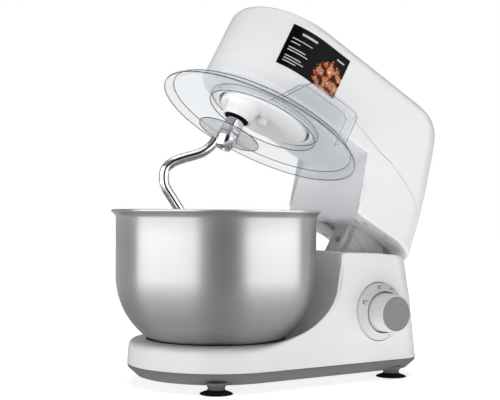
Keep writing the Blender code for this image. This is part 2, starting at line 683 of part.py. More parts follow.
def make_motor():
    at = (0, MOTOR_Y)
    empty("motor_axis", (0, MOTOR_Y, 250), "head_pivot")
    stator = turned([(25.4, 232.5), (MOTOR_R - 6, 231.3), (MOTOR_R, 234), (MOTOR_R, 262), (MOTOR_R - 6, 266),
                     (25.4, 265)], 24, at)
    piece("motor_stator", stator, STEEL, "head_pivot", (0, MOTOR_Y, 248))
    end = turned([(4.4, 269), (14, 269), (20, 266.4), (30.5, 266.4), (MOTOR_R + 1, 262.4),
                  (MOTOR_R + 3, 262.4), (MOTOR_R + 3, 265), (32, 270), (20, 270), (14, 273.5), (4.4, 273.5)],
                 18, at)
    piece("motor_end_cap", end, ALLOY, "head_pivot", (0, MOTOR_Y, 268))
    rotor = turned([(4.4, 235), (22, 235), (24.6, 237), (24.6, 260), (22, 262), (12, 262), (12, 265.6),
                    (4.4, 265.6)], 20, at)
    piece("motor_rotor", rotor, STEEL, "motor_axis")
    piece("motor_shaft", disc(4.0, 217.5, 296.5, 16, at), STEEL, "motor_axis")
    fan = turned([(4.4, 218.5), (28, 218.5), (28, 220), (8, 220), (8, 226), (4.4, 226)], 16, at)
    for k in range(6):
        blade = box((7, 27), (-0.9, 0.9), (219.5, 225.6))
        blade.data.transform(Matrix.Rotation(2 * pi * k / 6, 4, "Z"))
        blade.data.transform(Matrix.Translation((0, MOTOR_Y * MM, 0)))
        add(fan, blade)
    piece("motor_fan", fan, BLACK, "motor_axis")
    pulley = turned([(4.4, PULLEY_Z), (MOTOR_PULLEY_R + 2, PULLEY_Z), (MOTOR_PULLEY_R + 2, PULLEY_Z + 1.2),
                     (MOTOR_PULLEY_R, PULLEY_Z + 1.2), (MOTOR_PULLEY_R, PULLEY_Z + PULLEY_H - 0.5),
                     (4.4, PULLEY_Z + PULLEY_H - 0.5)], 20, at)
    piece("motor_pulley", pulley, STEEL, "motor_axis")

    def loop(grow):
        """Both pulleys wrapped by one tangent outline."""
        large, small = MAIN_PULLEY_R + grow, MOTOR_PULLEY_R + grow
        touch = 90 - acos((large - small) / MOTOR_Y) * 180 / pi
        right = arc(0, 0, large, -90, touch, 16)
        return mirrored(right + arc(0, MOTOR_Y, small, touch, 90, 6))

    belt = prism(loop(2.6), PULLEY_Z + 2, PULLEY_Z + PULLEY_H - 2)
    cut(belt, prism(loop(GAP), PULLEY_Z, PULLEY_Z + PULLEY_H))
    piece("drive_belt", belt, RUBBER, "head_pivot", (0, MOTOR_Y / 2, PULLEY_Z))


# ---------------------------------------------------------------- guard and hook


def make_guard():
    empty("guard_axis", (0, 0, GUARD_Z), "head_pivot")
    guard = turned([(GUARD_R, 188.6), (GUARD_R, 191.6), (GUARD_R - 3, 192.2), (111.5, 192.2),
                    (109.8, 196.4), (66.4, 200.6), (66.4, 206.5), (64.6, 206.5), (64.6, 198.6), (108.2, 194.4),
                    (110.2, 189.9), (GUARD_R - 1.4, 189.9), (GUARD_R - 1.4, 188.6)], 44)
    side = [(-40, 192.6), (-16, 227), (-8, 231.5), (48, 231.5), (54, 227), (54, 192.6)]
    hole = [(-36.5, 180), (-36.5, 192.8), (-14.4, 225), (-8, 240), (48, 240), (52.2, 228), (52.2, 180)]
    chute = prism(side, CHUTE_X[0], CHUTE_X[1], along="X")
    add(guard, chute)
    cut(guard, prism(hole, CHUTE_X[0] + 1.8, CHUTE_X[1] - 1.8, along="X"))
    piece("splash_guard", guard, CLEAR, "guard_axis")


def make_hook():
    tool = (0, -TOOL_OFFSET)
    collar = turned([(0, COLLAR_END_Z), (6.6, COLLAR_END_Z), (8.6, COLLAR_END_Z + 1.2), (11.0, 154),
                     (COLLAR_R, 160.5), (COLLAR_R, 163.0), (5.4, 163.0), (5.4, 150.2), (0, 150.2)], 20, tool)
    piece("hook_collar", collar, CHROME, "hook_axis")
    upper = turned([(5.4, 165.0), (COLLAR_R - 0.4, 165.0), (COLLAR_R - 0.4, 168), (10.6, 176), (5.4, 176)],
                   20, tool)
    piece("hook_sleeve", upper, CHROME, "hook_axis")
    shield = turned([(5.4, 163.3), (DISC_R - 3, 163.3), (DISC_R, 162.6), (DISC_R, 163.8), (DISC_R - 3, 164.7),
                     (5.4, 164.7)], 32, tool)
    piece("dough_shield", shield, FROSTED, "hook_axis")

    # the rod's centre line: how far out it stands, how far below the collar's end, and how far sideways
    knots = [(9.6, -9.0, 0), (12.5, 5.0, 0), (19.4, 17.3, 1), (33.2, 30.3, 2), (42.5, 41.2, 3), (45.5, 52.6, 3),
             (39.1, 66.2, 1), (26.0, 75.4, -2), (12.4, 84.1, -4), (2.0, 92.0, -3)]
    points = [Vector(k) for k in knots]
    line = []
    for i in range(len(points) - 1):
        before = points[max(i - 1, 0)]
        after = points[min(i + 2, len(points) - 1)]
        for k in range(3):
            t = k / 3
            a, b = points[i], points[i + 1]
            line.append(0.5 * (2 * a + (b - before) * t + (2 * before - 5 * a + 4 * b - after) * t * t
                        + (3 * a - before - 3 * b + after) * t**3))
    line.append(points[-1])
    out = Vector((cos(radians(HOOK_TURN)), sin(radians(HOOK_TURN)), 0))
    across = Vector((-out.y, out.x, 0))
    foot = Vector((0, -TOOL_OFFSET, COLLAR_END_Z))
    path = [foot + out * p.x - Vector((0, 0, p.y)) + across * p.z for p in line]
    rod = tube(path, ROD_R, 8)
    keep_out = disc(COLLAR_R + 2 * GAP, COLLAR_END_Z - GAP, 180, 20, tool)
    cut(rod, keep_out)
    piece("hook_rod", rod, CHROME, "hook_axis")


# ---------------------------------------------------------------- assembly
empty("mixer", (0, 0, 0))
empty("head_pivot", (0, HINGE_Y, HINGE_Z), "mixer")
make_base()
make_hinge()
make_controls()
make_bowl()
make_head_shells()
make_hinge_arm()
make_drive()
make_gearbox()
make_motor()
make_guard()
make_hook()
empties["mixer"][0].location = (0, FRAME_SHIFT_Y * MM, 0)
empties["head_pivot"][0].rotation_euler = (radians(-HEAD_TILT), 0, 0)
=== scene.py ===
"""Looks of the tilt-head stand mixer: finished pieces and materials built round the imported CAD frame.

Pieces are drawn in millimetres from the bowl's axis at table height, with the head shut. BASE_PLACE and
HEAD_PLACE then carry them into the frame, where the head is tilted back on its hinge.
"""

import json
from math import cos, hypot, pi, radians, sin, sqrt

import bmesh
import bpy
from bpy.props import FloatProperty, FloatVectorProperty, IntProperty, PointerProperty
from mathutils import Matrix, Vector


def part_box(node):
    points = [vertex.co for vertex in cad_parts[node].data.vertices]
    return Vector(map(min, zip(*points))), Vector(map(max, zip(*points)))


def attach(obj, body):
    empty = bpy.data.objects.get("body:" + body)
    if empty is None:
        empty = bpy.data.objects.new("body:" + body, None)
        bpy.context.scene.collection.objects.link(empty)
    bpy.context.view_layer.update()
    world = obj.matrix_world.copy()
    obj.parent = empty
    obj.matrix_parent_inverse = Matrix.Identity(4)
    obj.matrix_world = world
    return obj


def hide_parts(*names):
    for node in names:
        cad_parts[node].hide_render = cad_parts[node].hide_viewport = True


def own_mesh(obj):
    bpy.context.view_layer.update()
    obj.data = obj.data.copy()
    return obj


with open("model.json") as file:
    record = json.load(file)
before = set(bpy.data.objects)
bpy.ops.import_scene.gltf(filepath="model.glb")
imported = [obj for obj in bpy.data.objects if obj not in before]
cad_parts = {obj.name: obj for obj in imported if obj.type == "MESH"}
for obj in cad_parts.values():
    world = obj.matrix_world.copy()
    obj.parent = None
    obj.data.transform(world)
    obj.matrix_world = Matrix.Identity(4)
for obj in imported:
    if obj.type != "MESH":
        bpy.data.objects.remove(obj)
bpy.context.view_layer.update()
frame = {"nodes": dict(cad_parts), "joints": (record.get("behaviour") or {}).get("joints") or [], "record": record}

bl_info = {
    "name": "Stand Mixer",
    "version": (1, 0, 0),
    "blender": (4, 5, 0),
    "location": "View3D > Sidebar > Mixer",
    "description": "Builds the finished pieces and materials of a tilt-head stand mixer",
    "category": "Add Mesh",
}

MM = 0.001

# ---------------------------------------------------------------- places, from the frame


def joint(name):
    """A joint's entry in the frame."""
    return next(entry for entry in frame["joints"] if entry["name"] == name)


def middle(node):
    """The middle of a CAD node's box, in millimetres."""
    low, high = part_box(node)
    return (low + high) / 2 / MM


BOWL_AXIS = Vector((0, middle("bowl_seat").y, 0))
HINGE = Vector(joint("head_tilt")["pos_m"]) / MM - BOWL_AXIS
HEAD_OPEN = radians(joint("head_tilt")["range_deg"][0])
KNOB_AXIS = Vector(joint("speed_knob")["pos_m"]) / MM - BOWL_AXIS
BUTTON = middle("release_button") - BOWL_AXIS
FEET = {name: middle(name) - BOWL_AXIS for name in frame["nodes"] if name.startswith("foot_")}
SCREWS = [middle(name) - BOWL_AXIS for name in frame["nodes"] if name.startswith("base_screw_")]
BASE_PLACE = Matrix.Translation(BOWL_AXIS * MM)
HEAD_PLACE = (BASE_PLACE @ Matrix.Translation(HINGE * MM) @ Matrix.Rotation(HEAD_OPEN, 4, "X")
              @ Matrix.Translation(-HINGE * MM))
TOOL_Y = (HEAD_PLACE.inverted() @ Vector(joint("tool_spin")["pos_m"])).y / MM

# ---------------------------------------------------------------- sizes and colours to change


def srgb(code):
    """A hex colour as linear red, green and blue."""
    values = [int(code[i:i + 2], 16) / 255 for i in (0, 2, 4)]
    return tuple(v / 12.92 if v <= 0.04045 else ((v + 0.055) / 1.055)**2.4 for v in values)


def colour(code, label):
    """A colour setting that starts from a hex value."""
    return FloatVectorProperty(name=label, description=f"Colour of the {label.lower()}", subtype="COLOR",
                               size=3, min=0, max=1, default=srgb(code))


def length(value_mm, label, description):
    """A length setting that starts from a value in millimetres."""
    return FloatProperty(name=label, description=description, default=value_mm * MM, min=0, unit="LENGTH",
                         subtype="DISTANCE", precision=4)


class MixerSizes(bpy.types.PropertyGroup):
    shell_wall: length(2.8, "Shell wall", "Thickness of the moulded shells")
    seam: length(0.8, "Seam", "Open gap along the parting line of the head")
    edge: length(3.0, "Edge rounding", "Rounding of the pillar's and the head's edges")
    rim_edge: length(9.0, "Platform rounding", "Rounding of the platform's front rim")
    bowl_wall: length(1.1, "Bowl wall", "Thickness of the bowl's sheet")
    rod: length(10.8, "Hook rod", "Diameter of the dough hook's rod")
    sides: IntProperty(name="Sides", description="Sides of a turned piece", default=144, min=24)


class MixerColours(bpy.types.PropertyGroup):
    shell: colour("EEEEF0", "White shell")
    trim: colour("6E6E71", "Grey trim")
    rubber: colour("0A0A0B", "Rubber")
    bowl: colour("D0D0D1", "Stainless steel")
    chrome: colour("E4E5E7", "Chrome")
    cap: colour("858688", "Knob cap")
    skirt: colour("D3D3D5", "Knob skirt")
    print_: colour("242427", "Printed marks")
    guard: colour("CBD5DE", "Clear guard")
    # the colour of the painted shade along the clear mouldings' edges
    guard_edge_shade: colour("42474D", "Guard edge")
    shield: colour("BABDC0", "Dough shield")
    label: colour("080809", "Label")


def size(name):
    """A length setting, in millimetres."""
    return getattr(bpy.context.scene.mixer_sizes, name) / MM


def colours():
    """The colour settings."""
    return bpy.context.scene.mixer_colours


# ---------------------------------------------------------------- materials
NOISE_LOW, NOISE_HIGH = 0.3, 0.7  # most of a noise's values lie between these
LABEL_LONG, LABEL_TALL = 77.0, 49.4
# left, right, height and thickness of each printed bar, from the label's lower front corner
LABEL_BARS = [(12, 31, 42.5, 2.6), (61, 72, 41, 1.8), (4.5, 28, 34, 1.1), (4.5, 15, 29.5, 1.1),
              (4.5, 24, 23, 1.1), (4.5, 28, 19.8, 1.1), (4.5, 23, 12.6, 1.1), (4.5, 27, 9.4, 1.1),
              (4.5, 19, 6.2, 1.1)]
# the warm patch: its middle, its least radius, and how much further the speckle can carry its edge
PATCH_MIDDLE, PATCH_CORE, PATCH_EDGE = (60, 15, 0), 10.0, 18.0
PATCH_COLOURS = [(0.36, "1F1513"), (0.44, "6B2A1E"), (0.5, "C9552F"), (0.56, "D9A878"), (0.62, "7A3A28"),
                 (0.68, "E8D2B4")]
SPECKLE_MM, CRUMB_MM = 4, 7


def add_node(tree, kind, settings=None, inputs=None):
    """Adds a shader node with its settings. Each input is a value, or a socket to link from."""
    made = tree.nodes.new(kind)
    for name, value in (settings or {}).items():
        setattr(made, name, value)
    for key, value in (inputs or {}).items():
        if isinstance(value, bpy.types.NodeSocket):
            tree.links.new(value, made.inputs[key])
        else:
            made.inputs[key].default_value = value
    return made


def start_material(name, fixed):
    """The material, the tree and the Principled shader of a new finish, with its constant sockets set."""
    made = bpy.data.materials.new(name)
    made.use_nodes = True
    tree = made.node_tree
    tree.nodes.clear()
    shader = add_node(tree, "ShaderNodeBsdfPrincipled", inputs=fixed)
    add_node(tree, "ShaderNodeOutputMaterial", inputs={"Surface": shader.outputs["BSDF"]})
    return made, tree, shader


def grain_pattern(tree, period_mm, detail=2.0):
    """Noise over the object whose features are about one period apart."""
    place = add_node(tree, "ShaderNodeTexCoord").outputs["Object"]
    noise = add_node(tree, "ShaderNodeTexNoise", inputs={
        "Vector": place, "Scale": 1 / (period_mm * MM), "Detail": detail})
    return noise.outputs["Fac"]


def drive_finish(tree, shader, grain, base, spread, rough, depth_mm, bump=0.2):
    """Colour, roughness and relief of a finish, all following one grain."""
    dark = (*[c * (1 - spread) for c in base], 1)
    light = (*[min(c * (1 + spread), 1) for c in base], 1)
    shade = add_node(tree, "ShaderNodeMix", {"data_type": "RGBA"}, {0: grain, 6: dark, 7: light})
    tree.links.new(shade.outputs[2], shader.inputs["Base Color"])
    roughness = add_node(tree, "ShaderNodeMapRange", inputs={
        "Value": grain, "From Min": NOISE_LOW, "From Max": NOISE_HIGH,
        "To Min": rough[0], "To Max": rough[1]})
    tree.links.new(roughness.outputs["Result"], shader.inputs["Roughness"])
    relief = add_node(tree, "ShaderNodeBump", inputs={
        "Height": grain, "Strength": bump, "Distance": depth_mm * MM})
    tree.links.new(relief.outputs["Normal"], shader.inputs["Normal"])


def moulded(name, base, ior, rough, grain_mm, spread=0.04, depth_mm=0.05, bump=0.2, gloss=0.35):
    """A moulded plastic or rubber with the grain of its tool."""
    made, tree, shader = start_material(name, {"IOR": ior, "Specular IOR Level": gloss})
    drive_finish(tree, shader, grain_pattern(tree, grain_mm), base, spread, rough, depth_mm, bump)
    return made


def metal(name, base, rough, grain_mm, spread=0.05, depth_mm=0.03, bump=0.15):
    """A bare metal with the marks of how it was made."""
    made, tree, shader = start_material(name, {"Metallic": 1.0})
    drive_finish(tree, shader, grain_pattern(tree, grain_mm, 4.0), base, spread, rough, depth_mm, bump)
    return made


def abs_gloss_white():
    """ABS from a polished tool: bright and glossy, with a large moulding's faint ripple in its gloss."""
    return moulded("ABS_moulded_gloss_white", colours().shell, 1.54, (0.2, 0.27), 18, 0.008, 0.25, 0.05)


def abs_satin_grey():
    """ABS from a spark-eroded tool: an even grain, drawn 0.6 mm coarse so that it shows, and a soft sheen."""
    return moulded("ABS_spark_eroded_grey", colours().trim, 1.54, (0.38, 0.5), 0.6, 0.06, 0.06)


def abs_satin_cap():
    """ABS from a finely blasted tool: a flat mid grey with a quiet sheen."""
    return moulded("ABS_blasted_grey", colours().cap, 1.54, (0.34, 0.44), 0.5, 0.04, 0.03)


def abs_skirt():
    """ABS in light grey, semi-gloss where a hand polishes it."""
    return moulded("ABS_moulded_light_grey", colours().skirt, 1.54, (0.26, 0.36), 1.5, 0.03, 0.03)


def rubber_black():
    """Nitrile rubber, compression moulded: near black and dull, with a dusty unevenness."""
    return moulded("nitrile_rubber_moulded_black", colours().rubber, 1.52, (0.7, 0.85), 3, 0.3, 0.1,
                   gloss=0.1)


def ink_grey():
    """Pad-printed ink: flat and slightly broken at the scale of the pad, about 0.4 mm."""
    return moulded("ink_pad_printed_grey", colours().print_, 1.5, (0.45, 0.6), 0.4, 0.08, 0.01)


def painted_vent_shade():
    """Painted shade: a dark grey block behind a vent slot, standing in for the unlit space inside the white
    housing. It reads as a dark slit.
    """
    return moulded("painted_shade_vent_block", srgb("4A4B4E"), 1.54, (0.6, 0.8), 1.0, 0.05, 0.02)


def stainless_brushed():
    """Stainless steel brushed on the lathe: fine level lines, drawn 0.7 mm apart so that they show."""
    made, tree, shader = start_material("stainless_steel_turned_brushed", {
        "Metallic": 1.0, "Anisotropic": 0.88, "Anisotropic Rotation": 0.25})
    place = add_node(tree, "ShaderNodeTexCoord").outputs["Object"]
    from_axis = add_node(tree, "ShaderNodeVectorMath", {"operation": "SUBTRACT"},
                         {0: place, 1: tuple(BOWL_AXIS * MM)})
    split = add_node(tree, "ShaderNodeSeparateXYZ", inputs={"Vector": from_axis.outputs["Vector"]}).outputs
    turn = add_node(tree, "ShaderNodeMath", {"operation": "ARCTAN2"}, {0: split["Y"], 1: split["X"]})
    # a stroke runs on for about 20 mm of the rim before it fades
    around = add_node(tree, "ShaderNodeMath", {"operation": "MULTIPLY"}, {0: turn.outputs[0], 1: 5.5})
    up = add_node(tree, "ShaderNodeMath", {"operation": "MULTIPLY"}, {0: split["Z"], 1: 1 / (0.7 * MM)})
    unrolled = add_node(tree, "ShaderNodeCombineXYZ", inputs={"X": around.outputs[0], "Z": up.outputs[0]})
    strokes = add_node(tree, "ShaderNodeTexNoise", inputs={
        "Vector": unrolled.outputs["Vector"], "Scale": 1.0, "Detail": 3.0}).outputs["Fac"]
    drive_finish(tree, shader, strokes, colours().bowl, 0.04, (0.34, 0.4), 0.03, 0.08)
    tangent = add_node(tree, "ShaderNodeTangent", {"direction_type": "RADIAL", "axis": "Z"})
    tree.links.new(tangent.outputs["Tangent"], shader.inputs["Tangent"])
    return made


def chrome_plated():
    """Polished and chrome-plated steel: a mirror with a trace of buffing haze."""
    return metal("steel_chrome_plated", colours().chrome, (0.05, 0.1), 8, 0.02, 0.02, 0.05)


def steel_ground():
    """Bearing and shaft steel, ground: mid grey with a fine satin, drawn 0.8 mm coarse so that it shows."""
    return metal("steel_ground", srgb("A9AAAC"), (0.28, 0.4), 0.8)


def aluminium_cast():
    """Aluminium, die cast: pale and matt with the mottled skin of the casting."""
    return metal("aluminium_die_cast", srgb("C6C7C9"), (0.42, 0.55), 2.5, 0.08, 0.1)


def nylon_natural():
    """Nylon 66, moulded and undyed: a warm off-white with a waxy sheen."""
    return moulded("nylon_moulded_natural", srgb("E1DCCB"), 1.53, (0.4, 0.5), 1.5)


def pbt_black():
    """PBT with glass fibre, moulded: black with faint pale flow marks."""
    return moulded("PBT_glass_filled_black", srgb("232325"), 1.57, (0.4, 0.55), 1.2, 0.2)


def board_green():
    """Glass-epoxy board under solder resist: deep green gloss."""
    return moulded("epoxy_board_solder_resist", srgb("1E5C36"), 1.55, (0.25, 0.35), 2.0, 0.15)


def see_through(name, base, ior, rough, alpha, blend, grain_mm):
    """A thin clear moulding: it lets light through face on, and gathers colour where it is seen edge on."""
    made, tree, shader = start_material(name, {"IOR": ior})
    drive_finish(tree, shader, grain_pattern(tree, grain_mm), base, 0.03, rough, 0.2, 0.05)
    facing = add_node(tree, "ShaderNodeLayerWeight", inputs={"Blend": blend}).outputs["Facing"]
    opacity = add_node(tree, "ShaderNodeMapRange", inputs={
        "Value": facing, "To Min": alpha[0], "To Max": alpha[1]})
    tree.links.new(opacity.outputs["Result"], shader.inputs["Alpha"])
    return made


def san_clear():
    """SAN, moulded clear: bluish, glossy and nearly invisible face on."""
    return see_through("SAN_moulded_clear", colours().guard, 1.57, (0.04, 0.08), (0.1, 0.45), 0.12, 20)


def san_edge_shade():
    """Painted shade along the edges of the same SAN: a thin dark line standing in for the light lost inside where
    an edge is seen end on.
    """
    return see_through("SAN_painted_edge_shade", colours().guard_edge_shade, 1.57, (0.08, 0.14), (0.6, 0.9), 0.3,
                       6)


def polypropylene_frosted():
    """Polypropylene, moulded thin: milky, with a soft gloss."""
    return see_through("polypropylene_moulded_frosted", colours().shield, 1.49, (0.2, 0.3), (0.24, 0.8),
                       0.12, 8)


def label_print():
    """Polyester label under gloss laminate: near black, with pale bars and a warm speckled patch."""
    made, tree, shader = start_material("polyester_label_laminated", {"IOR": 1.5, "Specular IOR Level": 0.06})
    across = add_node(tree, "ShaderNodeUVMap").outputs["UV"]
    place = add_node(tree, "ShaderNodeVectorMath", {"operation": "MULTIPLY"},
                     {0: across, 1: (LABEL_LONG, LABEL_TALL, 0)}).outputs["Vector"]
    split = add_node(tree, "ShaderNodeSeparateXYZ", inputs={"Vector": place}).outputs
    speckle = add_node(tree, "ShaderNodeTexNoise", inputs={
        "Vector": place, "Scale": 1 / SPECKLE_MM, "Detail": 4.0, "Roughness": 0.7}).outputs["Fac"]
    drive_finish(tree, shader, speckle, colours().label, 0.15, (0.24, 0.32), 0.02, 0.03)
    prints = []
    for left, right, height, thick in LABEL_BARS:
        wide = add_node(tree, "ShaderNodeMath", {"operation": "COMPARE"},
                        {0: split["X"], 1: (left + right) / 2, 2: (right - left) / 2})
        tall = add_node(tree, "ShaderNodeMath", {"operation": "COMPARE"},
                        {0: split["Y"], 1: height, 2: thick / 2})
        inside = add_node(tree, "ShaderNodeMath", {"operation": "MULTIPLY"},
                          {0: wide.outputs[0], 1: tall.outputs[0]})
        prints.append((inside, (*srgb("C9C9CB"), 1)))
    away = add_node(tree, "ShaderNodeVectorMath", {"operation": "DISTANCE"}, {0: place, 1: PATCH_MIDDLE})
    reach = add_node(tree, "ShaderNodeMath", {"operation": "MULTIPLY_ADD"},
                     {0: speckle, 1: PATCH_EDGE, 2: PATCH_CORE})
    patch = add_node(tree, "ShaderNodeMath", {"operation": "LESS_THAN"},
                     {0: away.outputs["Value"], 1: reach.outputs[0]})
    crumbs = add_node(tree, "ShaderNodeTexNoise", inputs={
        "Vector": place, "Scale": 1 / CRUMB_MM, "Detail": 3.0}).outputs["Fac"]
    ramp = add_node(tree, "ShaderNodeValToRGB", inputs={"Fac": crumbs})
    for stop, code in PATCH_COLOURS:
        ramp.color_ramp.elements.new(stop).color = (*srgb(code), 1)
    prints.append((patch, ramp.outputs["Color"]))
    layer = shader.inputs["Base Color"].links[0].from_socket
    for mask, ink in prints:
        layer = add_node(tree, "ShaderNodeMix", {"data_type": "RGBA"},
                         {0: mask.outputs[0], 6: layer, 7: ink}).outputs[2]
    tree.links.new(layer, shader.inputs["Base Color"])
    return made


MATERIALS = {}


def material(maker):
    """The finish that a maker function describes, made once."""
    if maker.__name__ not in MATERIALS:
        MATERIALS[maker.__name__] = maker()
    return MATERIALS[maker.__name__]


# ---------------------------------------------------------------- mesh building
SHARP_DEG = 35  # an edge that turns by more than this is shaded sharp
BEVEL_DEG = 40  # an edge that turns by more than this is rounded


def arc(cx, cy, radius, start, end, steps):
    """Points on an arc, in degrees, with both ends."""
    turns = [radians(start + (end - start) * i / steps) for i in range(steps + 1)]
    return [(cx + radius * cos(t), cy + radius * sin(t)) for t in turns]


def along(stations, at):
    """The value of a line of (position, value) stations at a position."""
    if at <= stations[0][0]:
        return stations[0][1]
    for (a, low), (b, high) in zip(stations, stations[1:]):
        if at <= b:
            return low + (high - low) * (at - a) / (b - a)
    return stations[-1][1]


def ease(value):
    """Runs smoothly from 0 to 1 as the value does, and holds beyond."""
    value = min(max(value, 0), 1)
    return value * value * (3 - 2 * value)


def bend(first, corner, last, steps):
    """A smooth turn from first to last that heads for the corner, with both ends."""
    first, corner, last = Vector(first), Vector(corner), Vector(last)
    turns = [k / steps for k in range(steps + 1)]
    return [first * (1 - t)**2 + corner * 2 * t * (1 - t) + last * t * t for t in turns]


def smooth(knots, steps):
    """A smooth line through knots, with the given steps between neighbours."""
    points = [Vector(knot) for knot in knots]
    line = []
    for i in range(len(points) - 1):
        before, after = points[max(i - 1, 0)], points[min(i + 2, len(points) - 1)]
        a, b = points[i], points[i + 1]
        for k in range(steps):
            t = k / steps
            line.append(0.5 * (2 * a + (b - before) * t + (2 * before - 5 * a + 4 * b - after) * t * t
                               + (3 * a - before - 3 * b + after) * t**3))
    return line + [points[-1]]


def rounded(corners, radii):
    """A closed outline with each corner rounded to its own radius."""
    points = [Vector(corner) for corner in corners]
    outline = []
    for i, (corner, wanted) in enumerate(zip(points, radii)):
        back, ahead = points[i - 1] - corner, points[(i + 1) % len(points)] - corner
        half = back.angle(ahead) / 2
        reach = min(wanted * cos(half) / max(sin(half), 0.05), back.length * 0.49, ahead.length * 0.49)
        if wanted:
            start, end = corner + back.normalized() * reach, corner + ahead.normalized() * reach
            outline += bend(start, corner, end, 6)
        else:
            outline.append(corner)
    return outline


def shade(target):
    """Shades a piece smooth between its sharp edges."""
    target.data.shade_smooth()
    target.data.set_sharp_from_angle(angle=radians(SHARP_DEG))


def finish_mesh(bm, name, place):
    """Welds a mesh, turns its faces outwards, sets it in place and shades it."""
    bmesh.ops.remove_doubles(bm, verts=bm.verts[:], dist=0.01 * MM)
    bmesh.ops.dissolve_degenerate(bm, edges=bm.edges[:], dist=0.002 * MM)
    bmesh.ops.recalc_face_normals(bm, faces=bm.faces[:])
    mesh = bpy.data.meshes.new(name)
    bm.to_mesh(mesh)
    bm.free()
    mesh.transform(place)
    made = bpy.data.objects.new(name, mesh)
    shade(made)
    bpy.context.scene.collection.objects.link(made)
    return made


def rings_mesh(name, rings, place, ends="both"):
    """A mesh through rings of equal count.

    Its ends are closed with a face each, or at the "top" only, or left "open", or the last ring goes on to
    the first in a "loop".
    """
    bm = bmesh.new()
    rows = [[bm.verts.new([value * MM for value in point]) for point in ring] for ring in rings]
    pairs = list(zip(rows, rows[1:]))
    if ends == "loop":
        pairs.append((rows[-1], rows[0]))
    for low, high in pairs:
        for i in range(len(low)):
            k = (i + 1) % len(low)
            bm.faces.new((low[i], low[k], high[k], high[i]))
    if ends == "both":
        bm.faces.new(rows[0][::-1])
    if ends in ("both", "top"):
        bm.faces.new(rows[-1])
    return finish_mesh(bm, name, place)


def turned(name, profile, place, sides=None, centre=(0, 0), axis="Z"):
    """A closed solid turned from a closed section of (radius, height along the axis) points."""
    sides = sides or bpy.context.scene.mixer_sizes.sides
    rings = []
    for radius, height in profile:
        ring = []
        for i in range(sides):
            a, b = radius * cos(2 * pi * i / sides), radius * sin(2 * pi * i / sides)
            if axis == "Z":
                ring.append((centre[0] + a, centre[1] + b, height))
            elif axis == "X":
                ring.append((height, centre[0] + a, centre[1] + b))
            else:
                ring.append((centre[0] + b, height, centre[1] + a))
        rings.append(ring)
    return rings_mesh(name, rings, place, "loop")


def bar(radius, low, high, place, sides, centre=(0, 0), axis="Z"):
    """A plain round bar, to cut a hole or to clear a round space."""
    section = [(0, low), (radius, low), (radius, high), (0, high)]
    return turned("bar", section, place, sides, centre, axis)


def rod(name, path, radius, place, sides=32):
    """A round rod along a smooth path, with domed ends. The radius may be a function of the part run."""
    points = [Vector(point) for point in path]
    last = len(points) - 1
    tangents = [(points[min(i + 1, last)] - points[max(i - 1, 0)]).normalized() for i in range(last + 1)]
    stations = [(points[i], tangents[i], radius(i / last) if callable(radius) else radius)
                for i in range(last + 1)]
    dome = [(cos(radians(a)), sin(radians(a)) * 0.7) for a in (25, 50, 70, 84, 90)]
    head = [(p - t * r * rise, t, r * wide) for p, t, r in stations[:1] for wide, rise in dome[::-1]]
    tail = [(p + t * r * rise, t, r * wide) for p, t, r in stations[-1:] for wide, rise in dome]
    side = tangents[0].orthogonal().normalized()
    rings = []
    for point, tangent, wide in head + stations + tail:
        side = (side - tangent * side.dot(tangent)).normalized()
        other = tangent.cross(side)
        rings.append([point + (side * cos(2 * pi * k / sides) + other * sin(2 * pi * k / sides)) * wide
                      for k in range(sides)])
    return rings_mesh(name, rings, place, "open")


def slab(name, outline, low, high, place, axis="Z", bevel_mm=0.0):
    """An outline pushed along an axis. The outline is (x, y) along Z and (y, z) along X."""
    rings = []
    for level in (low, high):
        rings.append([(a, b, level) if axis == "Z" else (level, a, b) for a, b in outline])
    made = rings_mesh(name, rings, place)
    if bevel_mm:
        soften(made, bevel_mm)
    return made


def block(name, x, y, z, place, bevel_mm=0.0):
    """A box between two limits each way, in millimetres."""
    outline = [(x[0], y[0]), (x[1], y[0]), (x[1], y[1]), (x[0], y[1])]
    return slab(name, outline, *z, place, bevel_mm=bevel_mm)


def soften(target, bevel_mm):
    """Rounds the sharper edges of a mesh."""
    bm = bmesh.new()
    bm.from_mesh(target.data)
    edges = [edge for edge in bm.edges
             if len(edge.link_faces) == 2 and edge.calc_face_angle(0) > radians(BEVEL_DEG)]
    bmesh.ops.bevel(bm, geom=edges, offset=bevel_mm * MM, segments=3, profile=0.5, affect="EDGES",
                    clamp_overlap=True)
    bm.to_mesh(target.data)
    bm.free()
    shade(target)


def settle(target):
    """Applies the target's modifiers to its mesh."""
    bpy.context.view_layer.update()
    graph = bpy.context.evaluated_depsgraph_get()
    target.data = bpy.data.meshes.new_from_object(target.evaluated_get(graph))
    target.modifiers.clear()
    shade(target)
    return target


def combine(target, others, operation):
    """Applies exact Booleans of the other pieces to the target, and removes them."""
    for other in others:
        modifier = target.modifiers.new("shape", "BOOLEAN")
        modifier.operation = operation
        modifier.solver = "EXACT"
        modifier.object = other
        settle(target)
        bpy.data.objects.remove(other, do_unlink=True)
    return target


def cut(target, *others):
    """Takes the other pieces away from the target."""
    return combine(target, others, "DIFFERENCE")


def add(target, *others):
    """Joins the other pieces to the target."""
    return combine(target, others, "UNION")


def thicken(target, wall_mm):
    """Gives an open skin its wall, inwards."""
    modifier = target.modifiers.new("wall", "SOLIDIFY")
    modifier.thickness = wall_mm * MM
    modifier.offset = -1
    return settle(target)


def dress(piece, maker, body, slot, *nodes):
    """Gives a finished piece its material and its body, and hides the CAD nodes it stands for. The slot is not
    used.
    """
    piece.data.materials.clear()
    piece.data.materials.append(material(maker))
    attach(piece, body)
    if nodes:
        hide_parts(*nodes)


# ---------------------------------------------------------------- shells in strips
FRONT_STEPS, SIDE_STEPS, CORNER_STEPS, REAR_STEPS = 40, 26, 14, 8
TURN_STEPS, WALL_STEPS = 7, 14


